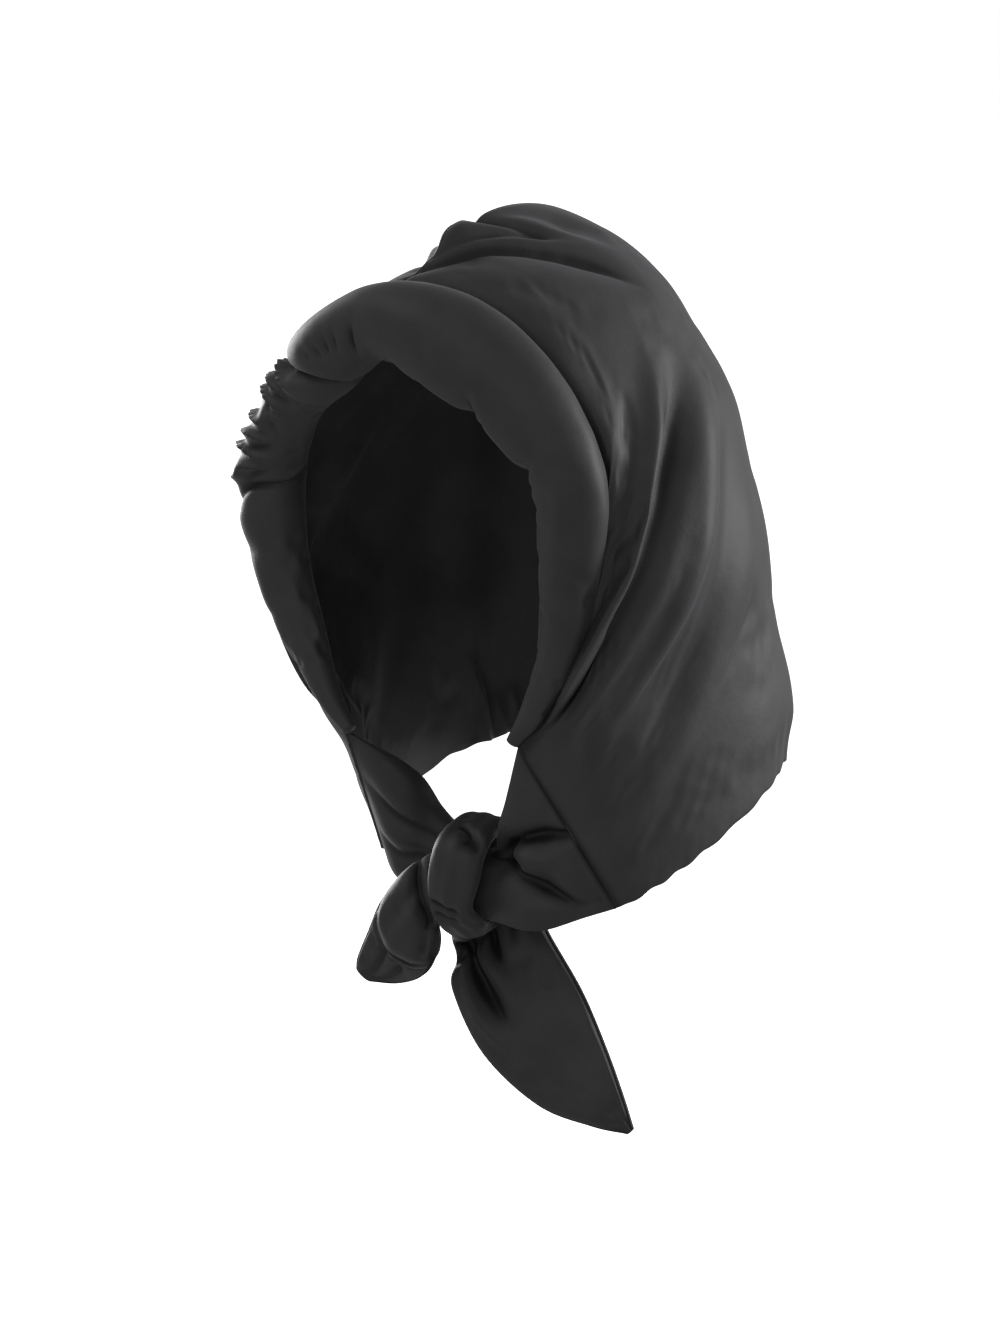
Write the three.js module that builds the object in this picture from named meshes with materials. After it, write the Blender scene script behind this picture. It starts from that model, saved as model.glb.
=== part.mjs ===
// Padded hood scarf: two side panels joined by a centre seam, a stuffed roll round the face
// opening, and two padded straps tied in a half knot under the chin.
// Millimetres, +Z up, the face looks along -Y and the wearer's left is +X.
// The origin is the place inside the crown where the top of the head bears.

import * as THREE from 'three';

// Padding and seams
const PANEL_PADDING = 8;
const PANEL_EDGE = 3;
const PADDING_FADE = 26;
const PADDING_START = -4;
const FOLD_HOLD = 18;
const SEAM_GAP = 0.8;
const ROLL_SEAM_GAP = 1.9;
const STRAP_SEAM_GAP = 1.7;

// How finely the cloth is divided. The rows of a panel crowd to the roll, more so at the jaw than
// at the centre seam, so that they lean with the side folds.
const PANEL_ROWS = 32;
const PANEL_COLUMNS = 24;
const ROW_CROWDING_POWER = 4;
const ROW_CROWDING_AT_RIDGE = 0.25;
const ROW_CROWDING_AT_JAW = 0.9;
const ROLL_STATIONS = 92;
const ROLL_SIDES = 12;
const STRAP_STATIONS = 54;
const STRAP_SIDES = 14;

// Stuffed roll, from the middle of the forehead to the wearer's left jaw, and to the right jaw,
// where it has slumped; x counts away from the middle
const ROLL_LEFT = [
  { x: 0, y: -124, z: -44.5, radius: 18.5 },
  { x: 41, y: -120, z: -54, radius: 25.5 },
  { x: 77, y: -110, z: -80, radius: 23.5 },
  { x: 98, y: -98, z: -121, radius: 18.5 },
  { x: 92, y: -91, z: -166, radius: 15.5 },
  { x: 81, y: -85, z: -203, radius: 10.5 },
  { x: 66, y: -86, z: -234, radius: 6.5 },
  { x: 53, y: -87, z: -251, radius: 3.5 },
];
const ROLL_RIGHT = [
  { x: 0, y: -124, z: -44.5, radius: 18.5 },
  { x: 36, y: -122, z: -63, radius: 19 },
  { x: 71, y: -109, z: -88, radius: 15.5 },
  { x: 95, y: -98, z: -124, radius: 18 },
  { x: 95, y: -91, z: -166, radius: 14.5 },
  { x: 85, y: -85, z: -203, radius: 11 },
  { x: 68, y: -86, z: -234, radius: 6.5 },
  { x: 53, y: -87, z: -251, radius: 3.5 },
];

// Tucks across the roll. Down runs from the forehead (0) to the jaw (1), and angle goes round the
// roll from its outer side (0), over the front (negative) into the face opening (pi).
const ROLL_TUCKS = [
  { side: 1, down: 0.24, angle: -2.6, length: 7, reach: 0.6, depth: 3 },
  { side: 1, down: 0.385, angle: -2.5, length: 7, reach: 0.6, depth: 3.5 },
  { side: -1, down: 0.182, angle: -1.5, length: 7, reach: 1.5, depth: 7 },
  { side: -1, down: 0.45, angle: -1.5, length: 7, reach: 1.7, depth: 4.5 },
];

// Gathers of the roll: ripples along the outer front of its slumped side
const GATHER_SIDE = -1;
const GATHER_LENGTH = 21;
const GATHER_DEPTH = 2.4;
const GATHER_START = 0.21;
const GATHER_END = 0.46;
const GATHER_FADE = 0.05;
const GATHER_ANGLE = -0.8;
const GATHER_TURN = 1.2;

// Bows of the hood from behind the roll to the hem. Each is an arch over the head whose top lies
// on the centre seam and whose foot lies on the strap seam; peak is how much it rises to a roof,
// which the slumped right side does more than the left one.
const BOWS = [
  { topY: -64, topZ: 1, halfWidth: 112, peak: 0.45, foot: 0.1, bulgeY: 4, bulgeZ: 0 },
  { topY: -12, topZ: 9, halfWidth: 113, peak: 0.45, foot: 0.22, bulgeY: 6, bulgeZ: 2 },
  { topY: 34, topZ: -2, halfWidth: 109, peak: 0.35, foot: 0.36, bulgeY: 6, bulgeZ: 4 },
  { topY: 72, topZ: -32, halfWidth: 105, peak: 0.25, foot: 0.5, bulgeY: 4, bulgeZ: 4 },
  { topY: 99, topZ: -84, halfWidth: 103, peak: 0.15, foot: 0.63, bulgeY: 2, bulgeZ: 5 },
  { topY: 113, topZ: -140, halfWidth: 102, peak: 0.08, foot: 0.76, bulgeY: 2, bulgeZ: 8 },
  { topY: 122, topZ: -200, halfWidth: 102, peak: 0, foot: 0.88, bulgeY: 2, bulgeZ: 9 },
  { topY: 129, topZ: -256, halfWidth: 103, peak: 0, foot: 1, bulgeY: 0, bulgeZ: 10 },
];
const RIGHT_SLUMP = 1.8;
const STRAP_SEAM_FOOT_LEFT = new THREE.Vector3(79, -37, -335);
const STRAP_SEAM_FOOT_RIGHT = new THREE.Vector3(76, -33, -316);

// Folds of a side panel. Back runs from the roll (0) to the hem (1), and down from the centre
// seam (0) to the strap seam (1); a negative height is a valley.
const BACK_LENGTH = 410;
const DOWN_LENGTH = 290;
const FOLD_BEGINS = [-0.12, 0.25];
const FOLD_ENDS = [0.7, 1.12];
const FOLDS = [
  { back0: 0.03, down0: 0.02, back1: 0.28, down1: 0.2, width: 11, height: -4 },
  { back0: 0.12, down0: 0.01, back1: 0.3, down1: 0.1, width: 10, height: -3.5 },
  { back0: 0.16, down0: 0.4, back1: 0.04, down1: 0.72, width: 8, height: -1.5 },
  { back0: 0.245, down0: 0.35, back1: 0.025, down1: 0.91, width: 9, height: 5 },
  { back0: 0.3, down0: 0.38, back1: 0.085, down1: 0.93, width: 13, height: -10 },
  { back0: 0.37, down0: 0.36, back1: 0.33, down1: 0.88, width: 20, height: 6 },
];

// Gathered hem at the nape
const NAPE_RUFFLE_LENGTH = 34;
const NAPE_RUFFLE_DEPTH = 3.2;
const NAPE_RUFFLE_RISE = 95;
const NAPE_RUFFLE_FADES = [0.3, 0.5];

// Half knot under the chin. Across runs to the image right of a viewer at its front, up is +Z and
// out is towards that viewer.
const KNOT_CENTRE = new THREE.Vector3(0, -63, -321);
const KNOT_TURN = THREE.MathUtils.degToRad(20);
const KNOT_ACROSS = new THREE.Vector3(Math.cos(KNOT_TURN), Math.sin(KNOT_TURN), 0);
const KNOT_OUT = new THREE.Vector3(Math.sin(KNOT_TURN), -Math.cos(KNOT_TURN), 0);

// Sections of the left strap from its seam through the knot to its short end: the two edges of
// the cloth, its thickness and the depth of its pleats
const LEFT_STRAP = [
  { edge: [36, 51, 28], other: [68, -19, 8], thick: 15, pleat: 2 },
  { edge: [29, 33, 18], other: [46, -26, 11], thick: 21, pleat: 2 },
  { edge: [22, 15.5, 7], other: [25, -24, 6], thick: 20, pleat: 1.5 },
  { edge: [4, 12, 0], other: [4, -20, 0], thick: 21, pleat: 1 },
  { edge: [-12, 11, 1], other: [-9, -20, 1], thick: 22, pleat: 1 },
  { edge: [-27, 2, 4], other: [-11, -34, 4], thick: 29, pleat: 1.5 },
  { edge: [-41, -14, 3], other: [-15, -46, 1], thick: 27, pleat: 1.5 },
  { edge: [-51, -31, -4], other: [-24, -54, -5], thick: 20, pleat: 1 },
  { edge: [-59, -45, -10], other: [-38, -58, -10], thick: 12, pleat: 0.5 },
  { edge: [-61, -52, -13], other: [-54, -58, -13], thick: 5, pleat: 0 },
];

// Sections of the right strap: behind the left one, up and over it, down its front, under it and
// out to the leaf-shaped end
const RIGHT_STRAP = [
  { edge: [-32, 48, -12], other: [-46, -8, -42], thick: 26, pleat: 2 },
  { edge: [-20, 30, -21], other: [-28, -6, -31], thick: 22, pleat: 2 },
  { edge: [-6, 18, -23], other: [-7, -9, -24], thick: 17, pleat: 1 },
  { edge: [2, 22, -21], other: [17, 2, -21], thick: 15, pleat: 1 },
  { edge: [-4, 25, -12], other: [22, 20, -13], thick: 13, pleat: 1 },
  { edge: [-4, 24, 5], other: [22, 22, 5], thick: 13, pleat: 1 },
  { edge: [-6, 15, 21.5], other: [21, 14.5, 22], thick: 16, pleat: 1.5 },
  { edge: [-9, 0, 23], other: [17, -2, 23], thick: 20, pleat: 1.5 },
  { edge: [-9, -14, 20], other: [12, -16, 20], thick: 17, pleat: 1.5 },
  { edge: [-7, -24, 13], other: [11, -24, 13], thick: 11, pleat: 1 },
  { edge: [-6, -29.5, 2], other: [15, -26, 1], thick: 10, pleat: 1 },
  { edge: [-7, -36, -9], other: [20, -17.5, -12.5], thick: 13, pleat: 1.5 },
  { edge: [-8, -46, -13], other: [30, -10, -17], thick: 18, pleat: 2 },
  { edge: [-10, -61, -14], other: [41, -30, -14], thick: 20, pleat: 2 },
  { edge: [8, -92, -10], other: [60, -58, -10], thick: 17, pleat: 1 },
  { edge: [38, -116, -7], other: [74, -86, -7], thick: 15, pleat: 0.5 },
  { edge: [67, -125, -5], other: [84, -110, -5], thick: 10, pleat: 0 },
  { edge: [86, -128, -5], other: [89, -125, -5], thick: 4, pleat: 0 },
];
const STRAP_PLEATS = 3;
const STRAP_FLATNESS = 0.75;
const STRAP_DIRECTION_STEP = 0.01;

// Value of a column at a share of the way down a table, on a smooth curve through its rows
function along(rows, column, share) {
  const last = rows.length - 1;
  const place = THREE.MathUtils.clamp(share, 0, 1) * last;
  const row = Math.min(Math.floor(place), last - 1);
  const rest = place - row;
  const here = rows[row][column];
  const next = rows[row + 1][column];
  const before = row > 0 ? rows[row - 1][column] : 2 * here - next;
  const after = row + 2 <= last ? rows[row + 2][column] : 2 * next - here;
  const slope = 0.5 * (next - before);
  const nextSlope = 0.5 * (after - here);
  const turn = 3 * (next - here) - 2 * slope - nextSlope;
  const twist = 2 * (here - next) + slope + nextSlope;
  return here + slope * rest + turn * rest * rest + twist * rest * rest * rest;
}

// Smooth curve through a list of points, met at equal shares
function curveThrough(points) {
  return new THREE.CatmullRomCurve3(points, false, 'catmullrom', 0.5);
}

function smooth(value, low, high) {
  return THREE.MathUtils.smoothstep(value, low, high);
}

// Closed skin over rings of points. A ring runs along one face of the cloth and back along the
// other, so its two halves also close the first and the last ring.
function skin(rings) {
  const sides = rings[0].length;
  const positions = rings.flat().flatMap((point) => point.toArray());
  const faces = [];
  const quad = (a, b, c, d) => faces.push(a, b, c, a, c, d);
  for (let ring = 0; ring + 1 < rings.length; ring += 1) {
    for (let side = 0; side < sides; side += 1) {
      const following = (side + 1) % sides;
      const start = ring * sides;
      const end = start + sides;
      quad(start + side, start + following, end + following, end + side);
    }
  }
  const lastStart = (rings.length - 1) * sides;
  for (let side = 0; side + 1 < sides / 2; side += 1) {
    const opposite = sides - 1 - side;
    quad(side, opposite, opposite - 1, side + 1);
    quad(lastStart + side, lastStart + side + 1, lastStart + opposite - 1, lastStart + opposite);
  }
  const geometry = new THREE.BufferGeometry();
  geometry.setAttribute('position', new THREE.Float32BufferAttribute(positions, 3));
  geometry.setIndex(faces);
  if (volumeOf(geometry) < 0) {
    geometry.setIndex(faces.reverse());
  }
  geometry.computeVertexNormals();
  return geometry;
}

function volumeOf(geometry) {
  const position = geometry.getAttribute('position');
  const index = geometry.getIndex();
  const corner = (place) => new THREE.Vector3().fromBufferAttribute(position, index.getX(place));
  let sum = 0;
  for (let place = 0; place < index.count; place += 3) {
    sum += corner(place).dot(corner(place + 1).cross(corner(place + 2)));
  }
  return sum / 6;
}

// Middle line of the roll from the wearer's right jaw over the forehead to the left jaw
const rollPoint = (row, side) => new THREE.Vector3(side * row.x, row.y, row.z);
const rollLine = curveThrough([
  ...ROLL_RIGHT.slice(1).reverse().map((row) => rollPoint(row, -1)),
  ...ROLL_LEFT.map((row) => rollPoint(row, 1)),
]);

// Share along the whole roll of a place between the forehead (0) and the jaw of a side (1)
function rollShare(side, down) {
  return 0.5 + 0.5 * side * down;
}

function rollRadius(side, down) {
  return along(side > 0 ? ROLL_LEFT : ROLL_RIGHT, 'radius', down);
}

function mirrored(point, side) {
  return new THREE.Vector3(side * point.x, point.y, point.z);
}

// Where a panel is sewn to the roll: the side of the roll that looks at the next bow
function rollSeamPoint(side, down, nextPoint) {
  const centre = rollLine.getPoint(rollShare(side, down));
  const tangent = rollLine.getTangent(rollShare(side, down));
  const lean = nextPoint.clone().sub(centre);
  lean.addScaledVector(tangent, -lean.dot(tangent)).normalize();
  return centre.addScaledVector(lean, rollRadius(side, down) + ROLL_SEAM_GAP);
}

// Ends of the seam between a panel and its strap, at the jaw and at the hem
function strapSeam(side) {
  const foot = mirrored(side > 0 ? STRAP_SEAM_FOOT_LEFT : STRAP_SEAM_FOOT_RIGHT, side);
  const jaw = rollLine.getPoint(rollShare(side, 1));
  const top = rollSeamPoint(side, 1, foot.clone().lerp(jaw, 0.5));
  return { top, foot };
}

// Place on a bow between the centre seam (0) and the strap seam (1)
function bowPoint(bow, side, foot, down) {
  const footAngle = Math.PI - Math.asin(Math.min(Math.abs(foot.x) / bow.halfWidth, 1));
  const angle = footAngle * down;
  const arch = (1 - Math.cos(angle)) / (1 - Math.cos(footAngle));
  const peak = bow.peak * (side > 0 ? 1 : RIGHT_SLUMP);
  const drop = THREE.MathUtils.lerp(arch, down, peak);
  const swell = Math.sin(Math.PI * drop);
  return new THREE.Vector3(
    side * bow.halfWidth * Math.sin(angle),
    THREE.MathUtils.lerp(bow.topY, foot.y, drop) + bow.bulgeY * swell,
    THREE.MathUtils.lerp(bow.topZ, foot.z, drop) + bow.bulgeZ * swell,
  );
}

// Middle of the padded wall of a panel, from the roll back to the hem
function panelColumn(side, down) {
  const seam = strapSeam(side);
  const bows = BOWS.map((bow) => bowPoint(bow, side, seam.top.clone().lerp(seam.foot, bow.foot), down));
  const front = down < 1 ? rollSeamPoint(side, down, bows[0]) : seam.top;
  return curveThrough([front, ...bows].map((point) => mirrored(point, side)));
}

// Height of the folds at a place of a panel
function foldHeight(back, down) {
  let height = 0;
  for (const fold of FOLDS) {
    const runBack = (fold.back1 - fold.back0) * BACK_LENGTH;
    const runDown = (fold.down1 - fold.down0) * DOWN_LENGTH;
    const fromBack = (back - fold.back0) * BACK_LENGTH;
    const fromDown = (down - fold.down0) * DOWN_LENGTH;
    const length = Math.hypot(runBack, runDown);
    const share = (fromBack * runBack + fromDown * runDown) / (length * length);
    const aside = (fromBack * runDown - fromDown * runBack) / length;
    const fade = smooth(share, ...FOLD_BEGINS) * (1 - smooth(share, ...FOLD_ENDS));
    height += fold.height * fade * Math.exp(-((aside / fold.width) ** 2));
  }
  return height;
}

function napeRuffle(down, fromSeam, fromHem) {
  const reach = 1 - smooth(down, ...NAPE_RUFFLE_FADES);
  const rise = 1 - smooth(fromHem, 0, NAPE_RUFFLE_RISE);
  return NAPE_RUFFLE_DEPTH * reach * rise * Math.cos((2 * Math.PI * fromSeam) / NAPE_RUFFLE_LENGTH);
}

function downShare(column) {
  return column / PANEL_COLUMNS;
}

function backShare(row, column) {
  const share = row / PANEL_ROWS;
  const crowding = THREE.MathUtils.lerp(ROW_CROWDING_AT_RIDGE, ROW_CROWDING_AT_JAW, downShare(column) ** 2);
  return THREE.MathUtils.lerp(share, share ** ROW_CROWDING_POWER, crowding);
}

// Panel: its wall follows the bows, is full in the middle and flat at the seams
function panelGeometry(side) {
  const columns = [];
  for (let column = 0; column <= PANEL_COLUMNS; column += 1) {
    columns.push(panelColumn(side, downShare(column)));
  }
  const grid = [];
  for (let row = 0; row <= PANEL_ROWS; row += 1) {
    grid.push(columns.map((curve, column) => curve.getPoint(backShare(row, column))));
  }
  const downRun = grid.map((line) => runLengths(line));
  const backRun = columns.map((curve, column) => runLengths(grid.map((line) => line[column])));
  const rings = grid.map((line, row) => {
    const outer = [];
    const inner = [];
    line.forEach((point, column) => {
      const ahead = grid[Math.min(row + 1, PANEL_ROWS)][column];
      const behind = grid[Math.max(row - 1, 0)][column];
      const lower = line[Math.min(column + 1, PANEL_COLUMNS)];
      const upper = column > 0 ? line[column - 1] : new THREE.Vector3(-line[1].x, line[1].y, line[1].z);
      const normal = lower.clone().sub(upper).cross(ahead.clone().sub(behind)).normalize();
      const fromRidge = downRun[row][column];
      const fromFoot = downRun[row][PANEL_COLUMNS] - fromRidge;
      const fromRoll = backRun[column][row];
      const fromHem = backRun[column][PANEL_ROWS] - fromRoll;
      const fromEdge = Math.min(fromRidge, fromFoot, fromRoll, fromHem);
      const full = Math.sqrt(smooth(fromEdge, PADDING_START, PADDING_FADE));
      const wall = THREE.MathUtils.lerp(PANEL_EDGE, PANEL_PADDING, full);
      const back = backShare(row, column);
      const down = downShare(column);
      const seamHold = smooth(Math.min(fromFoot, fromRoll), 0, FOLD_HOLD);
      const lift = foldHeight(back, down) * seamHold + napeRuffle(down, fromRidge, fromHem) * seamHold;
      outer.push(point.clone().addScaledVector(normal, lift + wall / 2));
      inner.push(point.clone().addScaledVector(normal, lift - wall / 2));
    });
    return [...outer, ...inner.reverse()].map(
      (point) => new THREE.Vector3(side * (Math.max(point.x, 0) + SEAM_GAP / 2), point.y, point.z),
    );
  });
  return skin(rings);
}

function runLengths(points) {
  const lengths = [0];
  for (let place = 1; place < points.length; place += 1) {
    lengths.push(lengths[place - 1] + points[place].distanceTo(points[place - 1]));
  }
  return lengths;
}

// Angle from one direction round the roll to another, between -pi and pi
function turnBetween(from, to) {
  return Math.atan2(Math.sin(to - from), Math.cos(to - from));
}

// How much the tucks and gathers draw in the roll at a place
function rollDrawn(side, down, angle, length) {
  let drawn = 0;
  for (const tuck of ROLL_TUCKS) {
    const aside = (0.5 * (side * down - tuck.side * tuck.down) * length) / tuck.length;
    const turn = turnBetween(tuck.angle, angle) / tuck.reach;
    drawn += tuck.depth * Math.exp(-(aside * aside) - turn * turn);
  }
  if (side === GATHER_SIDE) {
    const ripple = 0.5 - 0.5 * Math.cos((Math.PI * down * length) / GATHER_LENGTH);
    const begun = smooth(down, GATHER_START - GATHER_FADE, GATHER_START + GATHER_FADE);
    const ended = smooth(down, GATHER_END - GATHER_FADE, GATHER_END + GATHER_FADE);
    const turn = turnBetween(GATHER_ANGLE, angle) / GATHER_TURN;
    drawn += 2 * GATHER_DEPTH * ripple * begun * (1 - ended) * Math.exp(-(turn * turn));
  }
  return drawn;
}

// Roll: round sections along its middle line, drawn in by its tucks and gathers
function rollGeometry() {
  const length = rollLine.getLength();
  const rings = [];
  for (let station = 0; station <= ROLL_STATIONS; station += 1) {
    const share = station / ROLL_STATIONS;
    const side = share < 0.5 ? -1 : 1;
    const down = Math.abs(2 * share - 1);
    const centre = rollLine.getPoint(share);
    const tangent = rollLine.getTangent(share);
    const outward = tangent.clone().cross(new THREE.Vector3(0, 1, 0)).normalize();
    const backward = outward.clone().cross(tangent);
    const ring = [];
    for (let corner = 0; corner < ROLL_SIDES; corner += 1) {
      const angle = (2 * Math.PI * (corner + 0.5)) / ROLL_SIDES;
      const radius = rollRadius(side, down) - rollDrawn(side, down, angle, length);
      const point = centre.clone();
      point.addScaledVector(outward, radius * Math.cos(angle));
      point.addScaledVector(backward, radius * Math.sin(angle));
      ring.push(point);
    }
    rings.push(ring);
  }
  return skin(rings);
}

function knotPoint([across, up, out]) {
  const point = KNOT_CENTRE.clone();
  point.addScaledVector(KNOT_ACROSS, across);
  point.addScaledVector(KNOT_OUT, out);
  point.z += up;
  return point;
}

// Strap: a padded section at each row of its table, from the seam on
function strapGeometry(rows, side) {
  const seam = strapSeam(side);
  const towardsKnot = KNOT_CENTRE.clone().sub(seam.top.clone().lerp(seam.foot, 0.5)).normalize();
  const start = (point) => point.clone().addScaledVector(towardsKnot, STRAP_SEAM_GAP);
  const edges = curveThrough([start(seam.top), ...rows.map((row) => knotPoint(row.edge))]);
  const others = curveThrough([start(seam.foot), ...rows.map((row) => knotPoint(row.other))]);
  const table = [{ thick: PANEL_EDGE, pleat: 0 }, ...rows];
  const middle = (share) => edges.getPoint(share).lerp(others.getPoint(share), 0.5);
  const rings = [];
  for (let station = 0; station <= STRAP_STATIONS; station += 1) {
    const share = station / STRAP_STATIONS;
    const centre = middle(share);
    const ahead = middle(Math.min(share + STRAP_DIRECTION_STEP, 1));
    const behind = middle(Math.max(share - STRAP_DIRECTION_STEP, 0));
    const tangent = ahead.sub(behind);
    const width = edges.getPoint(share).sub(others.getPoint(share)).multiplyScalar(0.5);
    const face = tangent.cross(width).normalize();
    const thick = along(table, 'thick', share) / 2;
    const pleat = along(table, 'pleat', share);
    const ring = [];
    for (let corner = 0; corner < STRAP_SIDES; corner += 1) {
      const angle = (2 * Math.PI * (corner + 0.5)) / STRAP_SIDES;
      const acrossShare = Math.cos(angle);
      const height = Math.sign(Math.sin(angle)) * Math.abs(Math.sin(angle)) ** STRAP_FLATNESS;
      const crease = 0.25 * pleat * (1 - Math.cos(Math.PI * STRAP_PLEATS * acrossShare));
      const point = centre.clone();
      point.addScaledVector(width, acrossShare);
      point.addScaledVector(face, height * (thick - crease));
      ring.push(point);
    }
    rings.push(ring);
  }
  return skin(rings);
}

function cloth(name, geometry, colour) {
  const mesh = new THREE.Mesh(geometry, new THREE.MeshStandardMaterial({ color: colour, roughness: 0.6 }));
  mesh.name = name;
  return mesh;
}

const hood = new THREE.Group();
hood.name = 'padded_hood_scarf';
hood.add(cloth('hood_panel_left', panelGeometry(1), 0x2b2b2e));
hood.add(cloth('hood_panel_right', panelGeometry(-1), 0x29292c));
hood.add(cloth('face_roll', rollGeometry(), 0x303033));
hood.add(cloth('strap_left', strapGeometry(LEFT_STRAP, 1), 0x262629));
hood.add(cloth('strap_right', strapGeometry(RIGHT_STRAP, -1), 0x242427));

export default hood;
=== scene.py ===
"""Padded hood scarf of black nylon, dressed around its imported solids.

Two padded side panels, a stuffed roll round the face opening and two padded straps tied in a half
knot. Tables are in millimetres, in the frame of the solids, and meshes are in metres.
"""

import logging
import math
from dataclasses import dataclass, replace
from enum import Enum
from typing import NamedTuple

import bpy
import numpy as np
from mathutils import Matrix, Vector


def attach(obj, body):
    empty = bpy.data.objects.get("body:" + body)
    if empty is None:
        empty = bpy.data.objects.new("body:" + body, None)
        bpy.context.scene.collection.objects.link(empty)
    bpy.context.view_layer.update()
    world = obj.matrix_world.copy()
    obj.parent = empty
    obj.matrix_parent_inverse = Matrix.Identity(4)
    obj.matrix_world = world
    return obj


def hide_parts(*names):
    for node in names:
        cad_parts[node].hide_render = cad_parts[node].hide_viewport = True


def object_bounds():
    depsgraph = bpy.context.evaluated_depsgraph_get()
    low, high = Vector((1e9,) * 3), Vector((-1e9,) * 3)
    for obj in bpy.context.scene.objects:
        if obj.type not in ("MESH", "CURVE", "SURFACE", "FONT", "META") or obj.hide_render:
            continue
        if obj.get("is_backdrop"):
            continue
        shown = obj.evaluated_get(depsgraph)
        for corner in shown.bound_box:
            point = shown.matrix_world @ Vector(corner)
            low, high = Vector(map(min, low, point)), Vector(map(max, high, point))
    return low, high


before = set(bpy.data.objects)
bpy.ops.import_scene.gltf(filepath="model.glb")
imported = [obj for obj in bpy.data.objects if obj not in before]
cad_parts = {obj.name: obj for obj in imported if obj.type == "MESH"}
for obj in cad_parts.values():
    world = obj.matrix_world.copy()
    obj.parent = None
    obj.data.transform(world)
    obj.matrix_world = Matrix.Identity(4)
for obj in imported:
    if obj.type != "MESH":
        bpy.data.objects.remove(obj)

LOG = logging.getLogger("padded_hood_scarf")
MM = 0.001
BODY = "root"
UV_NAME = "cloth"
# Point attribute of painted shade in creases, at seams, along strap rims and under the knot
PAINTED_SHADE_ATTRIBUTE = "crease"

# Start and end of a ramp or a range
Span = tuple[float, float]


class Side(Enum):
    """The wearer's side that a piece belongs to; the value is the sign of x."""

    LEFT = 1
    RIGHT = -1


class Face(Enum):
    """What a crease presses in: a strap's front, both its faces, or the whole strap from its front."""

    FRONT = "front"
    BOTH = "both"
    WHOLE = "whole"


class RollRow(NamedTuple):
    """Section of the roll between forehead and jaw; x counts away from the middle."""

    x: float
    y: float
    z: float
    radius: float


class Bow(NamedTuple):
    """Arch of the hood over the head; its top lies on the centre seam, its foot on the strap seam."""

    top_y: float
    top_z: float
    half_width: float
    peak: float
    foot: float
    bulge_y: float
    bulge_z: float


class Fold(NamedTuple):
    """Straight fold of a panel between two places; a negative height is a valley."""

    back0: float
    down0: float
    back1: float
    down1: float
    width: float
    height: float
    sharp: float = 2.0


class Pleat(NamedTuple):
    """Pleat inside the nape: its place, height, width and how far it rises above the hem."""

    down: float
    height: float
    width: float
    rise: float


class Notch(NamedTuple):
    """Pucker across the roll: its place along it and round it, its size, depth and slant."""

    side: Side
    down: float
    angle: float
    length: float
    reach: float
    depth: float
    slant: float = 0.0


class StrapRow(NamedTuple):
    """Section of a strap: two edges of the cloth as (across, up, out), thickness and pleat depth."""

    edge: tuple[float, float, float]
    other: tuple[float, float, float]
    thick: float
    pleat: float


class Crease(NamedTuple):
    """Crease of a strap between two places; share runs along it and across from -1 to 1.

    A negative depth is a ridge. The bow is the share by which the crease's middle runs ahead of its
    ends.
    """

    share0: float
    across0: float
    share1: float
    across1: float
    width: float
    depth: float
    face: Face
    bow: float = 0.0


class Shade(NamedTuple):
    """How painted shade darkens creases: steps to their surroundings, and the depths of first and full
    dark.
    """

    reach: int
    first: float
    full: float


class Sway(NamedTuple):
    """Slow wave that spaces gathers unevenly: its size and its run for each radian."""

    size: float
    run: float

    def at(self, run: np.ndarray) -> np.ndarray:
        """Shift of the places at runs along a seam."""
        return self.size * np.sin(run / self.run)


class Pucker(NamedTuple):
    """Row of puckers along a seam: their spacing, their height and where they fade away from it."""

    spacing: float
    height: float
    near: float
    far: float

    def at(self, run: np.ndarray, away: np.ndarray) -> np.ndarray:
        """Height of the puckers at runs along the seam and distances away from it."""
        wave = np.sin(2 * math.pi * run / self.spacing)
        return self.height * wave * (1 - smooth(away, self.near, self.far))


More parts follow.
